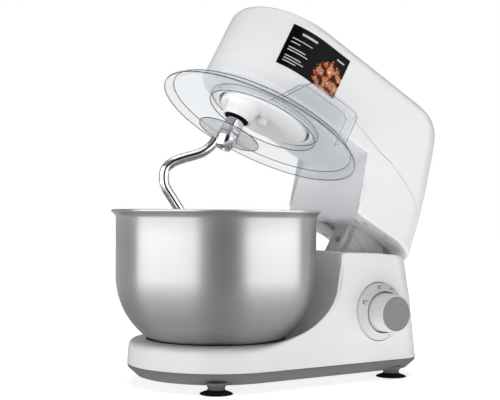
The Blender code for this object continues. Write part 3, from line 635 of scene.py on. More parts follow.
def half_outline(front_r, front_y, turn, half, corner, rear):
    """The +X half of a shell seen from above: a round front, a long side and a round rear corner."""
    points = arc(0, front_y, front_r, -90, turn, FRONT_STEPS)
    start, end = Vector(points[-1]), Vector((half, rear - corner))
    points += [start.lerp(end, k / SIDE_STEPS) for k in range(1, SIDE_STEPS)]
    points += arc(half - corner, rear - corner, corner, 0, 90, CORNER_STEPS)
    points += [((half - corner) * (1 - k / REAR_STEPS), rear) for k in range(1, REAR_STEPS + 1)]
    return points


def both_sides(half):
    """A closed ring from the points of its +X half."""
    return half + [(-x, y, z) for x, y, z in half[-2:0:-1]]


def run_lengths(line):
    """How far along a line each of its points lies."""
    lengths = [0.0]
    for a, b in zip(line, line[1:]):
        lengths.append(lengths[-1] + hypot(b[0] - a[0], b[1] - a[1]))
    return lengths


def point_at(line, lengths, run):
    """The (radius, height) at a distance along a line."""
    for i in range(1, len(line)):
        if run <= lengths[i]:
            step = lengths[i] - lengths[i - 1]
            t = (run - lengths[i - 1]) / step if step else 0
            return (line[i - 1][0] + (line[i][0] - line[i - 1][0]) * t,
                    line[i - 1][1] + (line[i][1] - line[i - 1][1]) * t)
    return line[-1]


def strip(wall_at, line_for, edge_for, wall_end, first_guess):
    """One strip of a shell: out along a line, round the edge, and along the wall to its end.

    wall_at(z) is the strip's place on the wall, line_for(x, y) the (radius, height) line that it follows
    out from the bowl's axis, edge_for(x, y) the rounding and wall_end(x, y) the height where the wall ends.
    """
    x, y = wall_at(first_guess)
    # the line depends a little on where it meets the wall, so the place is found again a few times
    for _ in range(4):
        line = line_for(x, y)
        lengths = run_lengths(line)
        low, high = 0.0, lengths[-1]
        for _ in range(30):  # halving
            run = (low + high) / 2
            radius, height = point_at(line, lengths, run)
            if radius < hypot(*wall_at(height)):
                low = run
            else:
                high = run
        x, y = wall_at(height)
    reach = hypot(x, y)
    out = Vector((x / reach, y / reach, 0))
    rounding = edge_for(x, y)
    start = max(run - rounding, 0)
    points = [point_at(line, lengths, min(place, start)) for place in lengths]
    path = [out * radius + Vector((0, 0, z)) for radius, z in points]
    end = wall_end(x, y)
    turn_end = height + (rounding if end > height else -rounding)
    if abs(end - height) < rounding:
        turn_end = (height + end) / 2
    corner = Vector((x, y, height))
    path += bend(path[-1], corner, (*wall_at(turn_end), turn_end), TURN_STEPS)[1:]
    for k in range(1, WALL_STEPS + 1):
        z = turn_end + (wall_end(*wall_at(end)) - turn_end) * k / WALL_STEPS
        path.append(Vector((*wall_at(z), z)))
    return path


def strips_mesh(name, strips, place, ends="open"):
    """A skin from the strips of its +X half."""
    rings = [both_sides([path[row] for path in strips]) for row in range(len(strips[0]))]
    return rings_mesh(name, rings, place, ends)


# ---------------------------------------------------------------- base
BASE_NOSE_R, BASE_HALF, BASE_CORNER = 96.5, 82.5, 38
BASE_DRAFT = 0.06  # how far the wall leans in for each millimetre of height
BASE_SPLIT_Z = 21.6
BASE_REAR = [(BASE_SPLIT_Z, 233.5), (88, 228.5), (128, 222.5), (143, 220)]
PILLAR_TOP = [(90, 143), (150, 141.5), (180, 139.5), (200, 137.5), (210, 135.5), (216, 132.5), (222, 127)]
PLATFORM_Z = 47.5
WELL_R, WELL_Z = 74.0, 33.0
DISH = [(77, 47.5), (83, 47.9), (90, 49.8), (101, 55.3), (114, 65.8), (127, 82.5), (134.5, 101), (137, 122)]
DISH_TOP_R = 137.5
# where the dish starts to rise and the rim's wide rounding to fade, and over how much of y each goes on
DISH_START_Y, DISH_RISE = -15, 65
EDGE_START_Y, EDGE_FADE = -20, 75
GLAND = (-42, 42)  # across and up


def base_half(z, inset=0.0):
    """The +X half of the base's outline at a height."""
    draft = BASE_DRAFT * max(z - BASE_SPLIT_Z, 0) + inset
    return half_outline(BASE_NOSE_R - draft, 0, 4, BASE_HALF - draft, BASE_CORNER - inset,
                        along(BASE_REAR, z) - inset)


def base_layers(name, layers, wall_z=None):
    """A solid through (height, inset) layers of the base's outline, or all of the outline at one height."""
    rings = [both_sides([(x, y, z) for x, y in base_half(wall_z or z, inset)]) for z, inset in layers]
    return rings_mesh(name, rings, BASE_PLACE)


def base_line(x, y):
    """The base's top from the bowl's axis outwards: the well, the platform, the dish and the pillar's top."""
    rise = ease((y - DISH_START_Y) / DISH_RISE)
    slope = y / hypot(x, y)
    well = [(0, WELL_Z), (WELL_R * 0.5, WELL_Z)]
    well += bend((WELL_R - 2, WELL_Z), (WELL_R, WELL_Z), (WELL_R, WELL_Z + 2), 4)
    well += bend((WELL_R, PLATFORM_Z - 1.6), (WELL_R, PLATFORM_Z), (WELL_R + 1.6, PLATFORM_Z), 5)
    top = along(PILLAR_TOP, DISH_TOP_R * slope)
    knots = [(r, PLATFORM_Z + (z - PLATFORM_Z) * rise) for r, z in DISH] + [(DISH_TOP_R, top - 4)]
    brow = bend((DISH_TOP_R, top - 4), (DISH_TOP_R + 0.3, top), (DISH_TOP_R + 4, top), 6)
    flat = [(r, along(PILLAR_TOP, r * slope))
            for r in (145, 150, 160, 170, 180, 190, 200, 208, 216, 224, 240)]
    return well + smooth(knots, 4)[:-1] + brow + flat


def base_edge(x, y):
    """The rounding of the base's upper edge: wide round the platform's front, and narrow at the pillar."""
    return size("edge") + (size("rim_edge") - size("edge")) * (1 - ease((y - EDGE_START_Y) / EDGE_FADE))


def build_base_shell():
    """The white housing, a black ring of painted shade round its well and the deck inside the pillar's open top.
    """
    strips = [strip(lambda z, i=i: base_half(z)[i], base_line, base_edge, lambda x, y: BASE_SPLIT_Z,
                    first_guess=60) for i in range(len(base_half(0)))]
    shell = thicken(strips_mesh("base_housing", strips, BASE_PLACE), size("shell_wall"))
    pocket = base_layers("pocket", [(127.6, 4.2), (150, 4.2)])
    cut(pocket, bar(142, 100, 160, BASE_PLACE, 96))
    dial, button = (KNOB_AXIS.y, KNOB_AXIS.z), (BUTTON.y, BUTTON.z)
    cut(shell, pocket)
    cut(shell, bar(32.7, 70, 100, BASE_PLACE, 96, dial, "X"))
    cut(shell, bar(8.7, -100, -60, BASE_PLACE, 48, button, "X"))
    cut(shell, bar(7.4, 220, 240, BASE_PLACE, 48, GLAND, "Y"))
    dress(shell, abs_gloss_white, "base", "white_abs", "base_shell")
    # painted shade: a black rubber ring at the well's mouth stands in for the contact shadow under the bowl
    shade_ring = [(74.0, 47.1), (75.2, 47.1), (76.8, 47.4), (76.4, 48.0), (75.6, 48.4), (75.2, 48.2)]
    dress(turned("painted_shade_well_ring", shade_ring, BASE_PLACE), rubber_black, "base", "rubber")
    deck = base_layers("pillar_deck_plate", [(124.5, 3.4), (127.2, 3.4)])
    cut(deck, bar(141.4, 100, 160, BASE_PLACE, 96))
    cut(deck, block("arm_gap", (-30, 30), (140, 212), (100, 150), BASE_PLACE))
    cut(deck, block("rear_gap", (-70, 70), (203, 260), (100, 150), BASE_PLACE))
    dress(deck, abs_gloss_white, "base", "white_abs", "pillar_deck")


def build_base_trim():
    """The grey tray under the housing: a light band, a fine groove and a wide chamfer down to the posts."""
    levels = [(17.6, 5.2), (21.2, 3.6), (21.2, 0.7), (20.9, 0.35), (18.3, 0.5), (17.9, 0.8), (17.7, 1.5),
              (17.2, 1.7), (16.8, 1.9), (9.4, 10.1), (8.8, 10.9), (8.5, 11.9)]
    tray = base_layers("base_trim", levels, BASE_SPLIT_Z)
    cut(tray, base_layers("inside", [(11.5, 12), (17.5, 5.2), (25, 4)], BASE_SPLIT_Z))
    for foot in FEET.values():
        post = [(0, 12), (11.5, 12), (11.3, 9.6), (10.2, 8.6), (9.2, 7.6), (8.6, 4.4), (0, 4.4)]
        add(tray, turned("post", post, BASE_PLACE, 48, (foot.x, foot.y)))
    for screw in SCREWS:
        hole = [(0, 5), (4.6, 5), (4.6, 10.4), (2.4, 10.4), (2.4, 15), (0, 15)]
        cut(tray, turned("hole", hole, BASE_PLACE, 32, (screw.x, screw.y)))
    dress(tray, abs_satin_grey, "base", "grey_abs", "base_tray")


def build_feet():
    """Suction feet: a wide thin lip, a waist and a hollow underside."""
    for name, foot in FEET.items():
        section = [(0, 4.2), (9.6, 4.2), (9.8, 3.6), (10.6, 3.0), (13, 2.5), (16.2, 1.2), (17, 0.6),
                   (17, 0.1), (16.6, 0), (15.4, 0.1), (11, 1.2), (6, 1.9), (0, 2.1)]
        piece = turned(f"suction_{name}", section, BASE_PLACE, 72, (foot.x, foot.y))
        dress(piece, rubber_black, "base", "rubber", name)


# ---------------------------------------------------------------- controls
MARK_R = 27.0


def dial_face(radius):
    """How far out the dial's cone stands at a radius."""
    return along([(23.6, 91.2), (31.0, 84.4)], radius)


def dial_mark(name, points, wide, at_degrees):
    """A printed stroke on the dial's cone, along (across, out) millimetres from the mark's own middle."""
    turn = radians(at_degrees)
    out = Vector((0, cos(turn), sin(turn)))
    across = Vector((0, -sin(turn), cos(turn)))
    axis = Vector((0, KNOB_AXIS.y, KNOB_AXIS.z))
    rings = [[axis + across * a + out * (MARK_R + b) + Vector((dial_face(MARK_R + b) + lift, 0, 0))
              for a, b in stroke(points, wide)] for lift in (-0.15, 0.08)]
    dress(rings_mesh(name, rings, BASE_PLACE), ink_grey, "base", "grey_abs")


def stroke(points, wide):
    """The outline of a printed line of even width through points."""
    line = [Vector(point) for point in points]
    left, right = [], []
    for i, point in enumerate(line):
        ahead = (line[min(i + 1, len(line) - 1)] - line[max(i - 1, 0)]).normalized()
        side = Vector((-ahead.y, ahead.x)) * wide / 2
        left.append(point + side)
        right.append(point - side)
    return left + right[::-1]


def build_controls():
    """The dial with its printed marks, the knob and the head release."""
    axis = (KNOB_AXIS.y, KNOB_AXIS.z)
    section = [(5, 79.6), (23.1, 79.6), *bend((23.1, 90.2), (23.1, 91.5), (24.3, 90.8), 4), (27, 88.1),
               *bend((30.6, 84.9), (32.0, 83.6), (32.0, 82.4), 5), (32.0, 78), (5, 78)]
    ring = turned("dial_cone", section, BASE_PLACE, None, axis, "X")
    dress(ring, abs_skirt, "base", "white_abs", "dial_ring")
    # off is a small ring, pulse and low speed are hooked strokes, and bars give the other speeds
    dial_mark("mark_off", arc(0, 0, 1.9, 0, 330, 16), 0.9, 155)
    for name, at in (("mark_pulse", 99), ("mark_low", 63)):
        dial_mark(name, arc(0, 0.3, 1.9, -150, 120, 12), 0.95, at)
        dial_mark(name + "_tip", [(-2.6, 1.2), (-1.0, 2.6), (-0.6, 0.8)], 0.9, at)
    for i in range(6):
        half = 1.2 + 0.15 * i
        dial_mark(f"mark_speed_{i + 1}", [(0, -half), (0, half)], 0.9, 38 - 22 * i)

    skirt = [(3.4, 80.4), (21.4, 80.4), *bend((22.0, 80.6), (22.4, 81.2), (22.3, 83.0), 3), (21.3, 94.0),
             (20.4, 104.0), (20.1, 108.8), *bend((19.95, 111.0), (19.9, 112.0), (19.0, 112.0), 4),
             (18.6, 111.8), (18.35, 111.2), (18.4, 109.6), (3.4, 109.6)]
    skirt = turned("knob_skirt", skirt, BASE_PLACE, None, axis, "X")
    dress(skirt, abs_skirt, "knob", "white_abs", "knob_body")
    cap = [(0, 109.9), (18.1, 109.9), (18.1, 111.0), *bend((18.0, 111.4), (17.8, 111.8), (17.2, 111.8), 3),
           (16.0, 111.8), (0, 112.2)]
    cap = turned("knob_top", cap, BASE_PLACE, None, axis, "X")
    dress(cap, abs_satin_cap, "knob", "grey_abs", "knob_cap")

    place = (BUTTON.y, BUTTON.z)
    section = [(0, -88.2), (3, -88.0), (5.6, -87.6), (7.3, -86.9), (8.0, -86.0), (8.2, -84.8), (8.2, -75),
               (10.5, -75), (10.5, -73.2), (3.2, -73.2), (3.2, -36), (0, -36)]
    button = turned("release_press", section, BASE_PLACE, 72, place, "X")
    dress(button, abs_satin_grey, "button", "grey_abs", "release_button")


def build_latch_spring():
    """The coil round the release button's stem."""
    low, high = [corner / MM - BOWL_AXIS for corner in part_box("latch_spring")]
    wire, turns, steps = 0.7, 5, 20
    radius = (high.z - low.z) / 2 - wire
    coil = []
    for i in range(turns * steps + 1):
        turn = 2 * pi * i / steps
        x = low.x + wire + (high.x - low.x - 2 * wire) * i / (turns * steps)
        coil.append((x, BUTTON.y + radius * cos(turn), BUTTON.z + radius * sin(turn)))
    spring = rod("latch_coil", coil, wire, BASE_PLACE, 10)
    dress(spring, steel_ground, "base", "steel", "latch_spring")
    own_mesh(spring)


# ---------------------------------------------------------------- bowl
BOWL_R, BOWL_LOW_Z = 110.0, 40.0


def build_bowl():
    """The drawn bowl with its rolled rim, and the foot ring with three locking lugs."""
    wall = size("bowl_wall")

    def side(shrink):
        return arc(27.5, 116, 82.5 - shrink, 0, -60, 34)

    bead = arc(113.4, 185.8, 1.7, 205, -78, 26)  # the rolled rim
    outer = [(111.4, 181.6), (110.4, 180.2), (BOWL_R, 178.5), (BOWL_R, 160), (BOWL_R, 138), *side(0),
             (66.6, 42.6), (64.6, 41.0), (62.8, 40.2), (61.5, BOWL_LOW_Z), (40, BOWL_LOW_Z), (0, BOWL_LOW_Z)]
    inner = [(BOWL_R - wall, z) for z in (184.0, 180, 160, 138)] + side(wall)
    inner += [(65.6, 43.6), (63.4, 42.0)] + [(radius, BOWL_LOW_Z + wall) for radius in (61.5, 40, 0)]
    bowl = turned("mixing_bowl", inner[::-1] + bead + outer, BASE_PLACE, 192)
    dress(bowl, stainless_brushed, "bowl", "brushed_steel", "bowl")
    ring = [(58, 39.7), (58, 34.4), (58.4, 33.5), (59.2, 33.3), (61, 33.3), (61.8, 33.6), (62, 34.4),
            (62, 39.7)]
    foot = turned("bowl_foot_ring", ring, BASE_PLACE, 128)
    for k in range(3):
        turn = Matrix.Rotation(2 * pi * k / 3, 4, "Z")
        add(foot, block("lug", (60.5, 65.8), (-7, 7), (34, 36.5), BASE_PLACE @ turn))
    dress(foot, stainless_brushed, "bowl", "brushed_steel", "bowl_foot")


# ---------------------------------------------------------------- head
HEAD_REAR = [(120, 231), (146, 230.5), (158, 228.6), (188, 223.8), (215, 218.6), (250, 209.5), (275, 203),
             (288, 198), (296, 190.5), (301, 182), (304, 168)]
HEAD_PART = [(35, 238), (70, 233), (112, 222), (135, 219), (160, 211), (184, 200), (200, 189), (215, 180),
             (235, 172)]
HEAD_BOTTOM = [(90, 147), (190, 146), (210, 143), (232, 139)]
SEAM_SHARE = [(20, 0.15), (110, 1)]  # how much of the seam's gap is open, by y: it nearly closes at the front
HEAD_NOSE_R, HEAD_NOSE_Y, HEAD_HALF, HEAD_CORNER = 75, -8, 71.5, 45
HEAD_TOP_Z, HEAD_ROUND = 304.0, 14.0
NOSE_UNDER_Z = 213.0
NECK_R, NECK_SLOPE = 129.5, 0.159
VENTS = ((45, 141.5), (56, 146), (60, 176))
VENT_WIDE, VENT_LONG = 3.6, 9.0


def head_half(z, inset=0.0):
    """The +X half of the head's outline at a height, drawn in over the rounding of its top edge."""
    rise = min(max(z - (HEAD_TOP_Z - HEAD_ROUND), 0), HEAD_ROUND)
    pull = HEAD_ROUND - sqrt(HEAD_ROUND**2 - rise**2) + inset
    return half_outline(HEAD_NOSE_R - pull, HEAD_NOSE_Y, 1, HEAD_HALF - pull, HEAD_CORNER - pull,
                        along(HEAD_REAR, z) - inset)


def part_height(i, offset):
    """The height of the parting line on the strip i of the head's wall."""
    z = 215.0
    # the wall's place depends on the height, so the height is found again until it settles
    for _ in range(25):
        z = along(HEAD_PART, head_half(z)[i][1])
    return z + offset * along(SEAM_SHARE, head_half(z)[i][1])


def head_line(x, y):
    """The head's underside from the bowl's axis outwards: the nose, down the neck and out to the back."""
    slope = y / hypot(x, y)
    nose = [(r, NOSE_UNDER_Z) for r in (59.0, 61, 64, 70, 78, 88, 98, 108, 118)]
    low = along(HEAD_BOTTOM, 140 * slope)
    foot_r = NECK_R + NECK_SLOPE * (NOSE_UNDER_Z - low)
    fold = bend((NECK_R - 6, NOSE_UNDER_Z), (NECK_R, NOSE_UNDER_Z),
                (NECK_R + 7 * NECK_SLOPE, NOSE_UNDER_Z - 7), 7)
    steps = [NOSE_UNDER_Z - 7 - (NOSE_UNDER_Z - 11 - low) * k / 9 for k in range(1, 9)]
    neck = [(NECK_R + NECK_SLOPE * (NOSE_UNDER_Z - z), z) for z in steps]
    chin = bend((foot_r - 4 * NECK_SLOPE, low + 4), (foot_r, low), (foot_r + 4, low), 6)
    under = [(r, along(HEAD_BOTTOM, r * slope)) for r in (150, 160, 172, 184, 196, 208, 220, 232, 250)]
    return nose + fold + neck + chin + under


def build_head_cover():
    """The head's upper housing, down to the parting line."""
    gap = size("seam") / 2
    strips = []
    for i in range(len(head_half(0))):
        low = part_height(i, gap)
        start = HEAD_TOP_Z - HEAD_ROUND
        levels = [low + (start - low) * k / 16 for k in range(17)]
        levels += [start + HEAD_ROUND * sin(radians(a)) for a in (9, 18, 27, 36, 45, 54, 63, 72, 80, 86)]
        path = [(*head_half(z)[i], z) for z in levels] + [(*head_half(HEAD_TOP_Z)[i], HEAD_TOP_Z)]
        path += [(*head_half(HEAD_TOP_Z, inset)[i], HEAD_TOP_Z) for inset in (2, 8)]
        strips.append(path)
    cover = thicken(strips_mesh("head_housing", strips, HEAD_PLACE, "top"), size("shell_wall"))
    dress(cover, abs_gloss_white, "head", "white_abs", "head_cover")


def build_head_lower():
    """The head's lower housing: under the nose, the neck, the skirt round the hub and the vents."""
    gap = size("seam") / 2
    strips = []
    for i in range(len(head_half(0))):
        end = part_height(i, -gap)
        strips.append(strip(lambda z, i=i: head_half(z)[i], head_line, lambda x, y: size("edge") + 1.4,
                            lambda x, y, end=end: end, first_guess=190))
    lower = thicken(strips_mesh("head_underside", strips, HEAD_PLACE), size("shell_wall"))
    skirt = [(56, 215.8), (56, 204.4), *bend((56, 204.2), (56, 203.5), (56.8, 203.5), 3),
             *bend((59.5, 203.5), (60.5, 203.5), (60.5, 204.5), 4), (60.5, 215.8)]
    add(lower, turned("skirt", skirt, HEAD_PLACE))
    cut(lower, block("arm_gap", (-31, 31), (142, 224), (130, 152), HEAD_PLACE))
    cut(lower, block("rear_gap", (-62, 62), (204, 224), (130, 152), HEAD_PLACE))
    for word, side in (("left", -1), ("right", 1)):
        for x, y in VENTS:
            spans = ((side * x - VENT_WIDE / 2, side * x + VENT_WIDE / 2),
                     (y - VENT_LONG / 2, y + VENT_LONG / 2))
            cut(lower, block("vent", *spans, (140, 152), HEAD_PLACE))
            # painted shade: a dark grey block just inside each vent stands in for the unlit space behind the slot
            under = along(HEAD_BOTTOM, y)
            vent_shade_block = block(f"vent_{word}_{y:.0f}", *spans, (under + 0.5, under + 2), HEAD_PLACE)
            dress(vent_shade_block, painted_vent_shade, "head", "grey_abs")
    dress(lower, abs_gloss_white, "head", "white_abs", "head_lower")


def build_hinge_arm():
    """The arm that carries the head on its pin, with the latch tongue and a recess in its front."""
    web_side = arc(HINGE.y, HINGE.z, 10, -130, 50, 18) + [(202, 154), (160, 154), (160, 140)]
    web = slab("hinge_web", web_side, -20.8, 20.8, HEAD_PLACE, "X", 1.2)
    flange = block("flange", (-42, 42), (150, 203), (150.4, 156), HEAD_PLACE, 0.8)
    tongue = block("tongue", (-13, 13), (154.5, 163), (101, 154), HEAD_PLACE, 1.0)
    side = [(162, 154), (162, 101.5), (166, 101.5), (178, 107), (197, 118), (203, 124), (203, 154)]
    arm = add(web, flange, tongue, slab("wedge", side, -19.6, 19.6, HEAD_PLACE, "X", 1.0))
    cut(arm, bar(4.3, -40, 40, HEAD_PLACE, 32, (HINGE.y, HINGE.z), "X"))
    cut(arm, block("recess", (-9, 9), (150, 157.5), (112, 139), HEAD_PLACE, 1.4))
    arm.name = "hinge_arm_moulding"
    dress(arm, abs_gloss_white, "head", "white_abs", "hinge_arm")


# ---------------------------------------------------------------- drive, hook and guard
HOOK_TURN_DEG = -121  # which way the hook's bow points about its shaft, from +X


def build_drive():
    """The planet hub under the nose, its cap, the shaft seal and the shaft that carries the tool."""
    place, tool = HEAD_PLACE, (0, TOOL_Y)
    hub = [(0, 200.6), (30, 200.6), *bend((50.6, 200.6), (52.7, 200.6), (52.7, 202.6), 5), (52.7, 212.5),
           (50.2, 212.5), (50.2, 204.6), (12, 204.6), (12, 215.5), (0, 215.5)]
    hub = turned("planet_disc", hub, place)
    boss = [(4, 189), (14.3, 189), (14.3, 184.6), (14.8, 184.0), (16.0, 184.0),
            *bend((16.4, 184.1), (17.7, 184.5), (18.0, 187), 5),
            *bend((18.4, 194), (18.9, 199.6), (23.0, 200.8), 6), (23, 203), (11, 203), (11, 215.5),
            (4, 215.5)]
    add(hub, turned("boss", boss, place, 96, tool))
    cut(hub, bar(5.3, 170, 230, place, 48, tool))
    cut(hub, bar(6.3, 203.2, 230, place, 48))
    dress(hub, abs_gloss_white, "drive", "white_abs", "planet_hub")
    cap = [(0, 193.4), (3, 193.6), (5.4, 194.2), (6.6, 195.4), (7.0, 197), (7.0, 200.3), (0, 200.3)]
    dress(turned("hub_plug", cap, place, 64), abs_gloss_white, "drive", "white_abs", "hub_cap")
    seal = [(5.4, 183.4), (6.2, 182.8), (7.4, 183.6), (9.0, 183.9), (10.6, 183.3), (12.4, 182.6),
            (13.5, 182.9), (13.7, 183.6), (13.7, 188.6), (5.4, 188.6)]
    dress(turned("shaft_seal_lip", seal, place, 96, tool), rubber_black, "drive", "rubber", "shaft_seal")
    shaft = [(0, 150.5), (4.4, 150.5), (5.0, 151.1), (5.0, 226.0), (0, 226.0)]
    dress(turned("tool_spindle", shaft, place, 48, tool), chrome_plated, "tool", "chrome", "tool_shaft")


def build_hook():
    """The dough hook: a bent rod in a tapered collar under a thin shield, with the sleeve above it."""
    place, tool = HEAD_PLACE, (0, TOOL_Y)
    collar = [(0, 148.4), (6.2, 148.4), (6.6, 146.4), *bend((7.0, 146.0), (8.6, 145.8), (9.4, 147.4), 4),
              (10.9, 151.6), (11.9, 156), (12.2, 159.6), (12.0, 163.0), (5.4, 163.0), (5.4, 151.2),
              (0, 151.2)]
    collar = turned("hook_collar_plated", collar, place, 96, tool)
    dress(collar, chrome_plated, "hook", "chrome", "hook_collar")
    sleeve = [(5.4, 165.0), (11.5, 165.0), (11.9, 165.4), (11.9, 167.6), (11.5, 168.0), (11.1, 168.4),
              (10.6, 178), (10.2, 181.2), (9.6, 181.8), (5.4, 181.8)]
    sleeve = turned("hook_sleeve_plated", sleeve, place, 96, tool)
    dress(sleeve, chrome_plated, "hook", "chrome", "hook_sleeve")
    shield = [(12.6, 163.3), (20, 163.3), (32, 163.3), (34.4, 162.9), (35.6, 162.6), (36, 163.0),
              (35.9, 163.8), (34.6, 164.4), (32, 164.7), (20, 164.7), (12.6, 164.7)]
    shield = turned("dough_shield_disc", shield, place, None, tool)
    dress(shield, polypropylene_frosted, "hook", "frosted_plastic", "dough_shield")
    # painted shade: a thin dark ring stands in for the darkening at the shield's rim
    dress(edge_shade_ring("dough_shield_edge", 35.9, 163.5, tool), san_edge_shade, "hook", "frosted_plastic")
    # the rod's centre line: how far out it stands, how far below the collar's end, and how far sideways
    knots = [(10.4, -6.0, 0), (12.5, 5.0, 0), (19.4, 17.3, 1), (33.2, 30.3, 2), (42.5, 41.2, 3),
             (45.5, 52.6, 3), (39.1, 66.2, 1), (26.0, 75.4, -2), (12.4, 84.1, -4), (3.6, 90.4, -3)]
    turn = radians(HOOK_TURN_DEG)
    out, across = Vector((cos(turn), sin(turn), 0)), Vector((-sin(turn), cos(turn), 0))
    foot = Vector((0, TOOL_Y, 147))
    path = [foot + out * p.x - Vector((0, 0, p.y)) + across * p.z for p in smooth(knots, 8)]
    radius = size("rod") / 2
    # the rod tapers over its last stretch
    hook = rod("dough_hook_rod", path, lambda run: radius * (1 - 0.22 * ease((run - 0.86) / 0.14)), place)
    space = [(0, 146.7), (8.8, 146.7), (12.6, 156), (12.6, 180), (0, 180)]
    cut(hook, turned("collar_space", space, place, 64, tool))
    dress(hook, chrome_plated, "hook", "chrome", "hook_rod")


def edge_shade_ring(name, radius, height, centre=(0, 0)):
    """A thin dark ring of painted edge shade round a clear moulding, 0.85 mm thick."""
    half = 0.85 / 2
    section = [(radius + a * half, height + b * half) for a, b in ((-1, -1), (1, -1), (1, 1), (-1, 1))]
    return turned(name, section, HEAD_PLACE, None, centre)


def build_guard():
    """The clear splash guard: a stepped ring with a raised pour chute on its +X side."""
    place = HEAD_PLACE
    section = [(117.5, 188.6), (117.5, 191.2), (117.1, 191.7), (114.5, 192.2), (111.9, 192.4), (111.2, 193.2),
               (109.9, 196.1), (109.2, 196.5), (66.9, 200.5), (66.4, 201.1), (66.4, 206.1), (66.0, 206.5),
               (65.0, 206.5), (64.6, 206.1), (64.6, 199.2), (65.2, 198.6), (107.9, 194.5), (108.5, 194.1),
               (110.0, 190.4), (110.8, 189.9), (116.1, 189.9), (116.1, 188.6)]
    guard = turned("splash_guard_ring", section, place, 160)
    side = rounded([(-40, 192.6), (-16, 227), (-8, 231.5), (48, 231.5), (54, 227), (54, 192.6)],
                   [0, 6, 4, 3, 3, 0])
    hole = rounded([(-36.5, 180), (-36.5, 192.8), (-14.4, 225), (-8, 240), (48, 240), (52.2, 228),
                    (52.2, 180)], [0, 2, 4, 0, 0, 3, 0])
    add(guard, slab("chute", side, 77.6, 98, place, "X", 1.5))
    cut(guard, slab("chute_hole", hole, 79.4, 96.2, place, "X"))
    dress(guard, san_clear, "guard", "clear_plastic", "splash_guard")
    # painted shade: thin dark rings and rods stand in for the darkening along the guard's rims and the chute's
    # edges
    for name, radius, height in (("rim", 117.3, 189.0), ("shoulder", 109.4, 196.2), ("collar", 64.9, 199.0),
                                 ("collar_top", 66.0, 206.3)):
        dress(edge_shade_ring(f"guard_{name}_line", radius, height), san_edge_shade, "guard", "clear_plastic")
    for name, x in (("outer", 97.7), ("inner", 77.9)):
        line = rod(f"chute_{name}_line", [(x, y, z) for y, z in side], 0.35, place, 12)
        dress(line, san_edge_shade, "guard", "clear_plastic")


LABEL_FRONT_Y, LABEL_LOW_Z, LABEL_WALL_Z, LABEL_PROUD = -47.0, 238.8, 260, 0.12
LABEL_COLUMNS, LABEL_ROWS = 48, 12


def build_label():
    """The label on the head's +X side, which follows the wall."""
    side = sorted((y, x) for x, y in head_half(LABEL_WALL_Z) if y < 120)
    bm = bmesh.new()
    uv = bm.loops.layers.uv.new("UVMap")
    rows = []
    for j in range(LABEL_ROWS + 1):
        z = LABEL_LOW_Z + LABEL_TALL * j / LABEL_ROWS
        columns = [LABEL_FRONT_Y + LABEL_LONG * k / LABEL_COLUMNS for k in range(LABEL_COLUMNS + 1)]
        rows.append([bm.verts.new(Vector((along(side, y) + LABEL_PROUD, y, z)) * MM) for y in columns])
    for j in range(LABEL_ROWS):
        for i in range(LABEL_COLUMNS):
            face = bm.faces.new((rows[j][i], rows[j][i + 1], rows[j + 1][i + 1], rows[j + 1][i]))
            for loop, (a, b) in zip(face.loops, ((i, j), (i + 1, j), (i + 1, j + 1), (i, j + 1))):
                loop[uv].uv = (a / LABEL_COLUMNS, b / LABEL_ROWS)
    label = finish_mesh(bm, "side_label", HEAD_PLACE)
    thicken(label, 0.1)
    dress(label, label_print, "head", "black_plastic")


# ---------------------------------------------------------------- carried-over CAD nodes
INNER_FINISH = {
    "white_abs": abs_gloss_white, "grey_abs": abs_satin_grey, "rubber": rubber_black,
    "brushed_steel": stainless_brushed, "chrome": chrome_plated, "steel": steel_ground,
    "alloy": aluminium_cast, "black_plastic": pbt_black, "nylon": nylon_natural,
    "clear_plastic": san_clear, "frosted_plastic": polypropylene_frosted, "circuit_board": board_green,
}


def finish_inner_works():
    """Every CAD node gets the finish of its record slot, also the ones that a finished piece hides."""
    for entry in frame["record"]["subparts"]:
        node = frame["nodes"][entry["node"]]
        node.data.materials.clear()
        node.data.materials.append(material(INNER_FINISH[entry["material_slot"]]))


# ---------------------------------------------------------------- stage
CAMERA_PLACE = Vector((0.98708, -0.62218, 0.17752))
CAMERA_AIM = Vector((-0.0189, -0.0252, 0.1998))
CAMERA_ROLL, LENS_MM, SENSOR_MM = 0.40, 73.5, 36
# strength of the room on matt surfaces and in mirrors, and of the paper floor on the mixer, to the eye and
# in mirrors far from the mixer
ROOM_FILL, ROOM_MIRRORED = 0.1, 0.27
FLOOR_GLOW, FLOOR_SEEN, FLOOR_MIRRORED = 1.07, 0.75, 0.5
FLOOR_HALF, FLOOR_THICK, FLOOR_DROP = 9000, 5, 0.0004
# name, azimuth, distance, height, the sheet's two sides, radiance, mirrored only. Lengths are in metres, and
# the azimuth runs in degrees from +X towards +Y about the bowl.
SOFTBOXES = [
    ("strip_left", -87, 1.7, 0.65, 2.9, 1.9, 2.15, True), ("strip_right", 42, 1.7, 0.65, 2.7, 1.9, 2.0, True),
    ("key", 18, 1.7, 1.0, 1.2, 1.2, 0.1, False), ("card", -102, 0.8, 0.33, 0.6, 0.4, 0.3, False),
    ("overhead", -20, 0.2, 1.9, 1.2, 1.2, 3.6, False), ("overhead_strip", 90, 0.3, 2.0, 2.2, 2.2, 1.3, True),
]
# two narrow beams with their aim and spread, for the hub and the neck, which the floor's light hardly reaches
REFLECTORS = [("reflector_hub", -62, 0.8, 0.12, 0.4, 0.3, 0.3, False, (0.02, 0.0, 0.26), 28),
              ("reflector_neck", -82, 0.75, 0.35, 0.3, 0.2, 0.33, False, (0.03, 0.08, 0.2), 22)]
FLAG_AZIMUTH, FLAG_AWAY, FLAG_WIDE, FLAG_TALL = -20.5, 1.7, 880, 1900


def around_bowl(azimuth, distance):
    """A place on the floor at an azimuth and a distance from the bowl's axis."""
    turn = radians(azimuth)
    return Vector((distance * cos(turn), distance * sin(turn) + BOWL_AXIS.y * MM, 0))


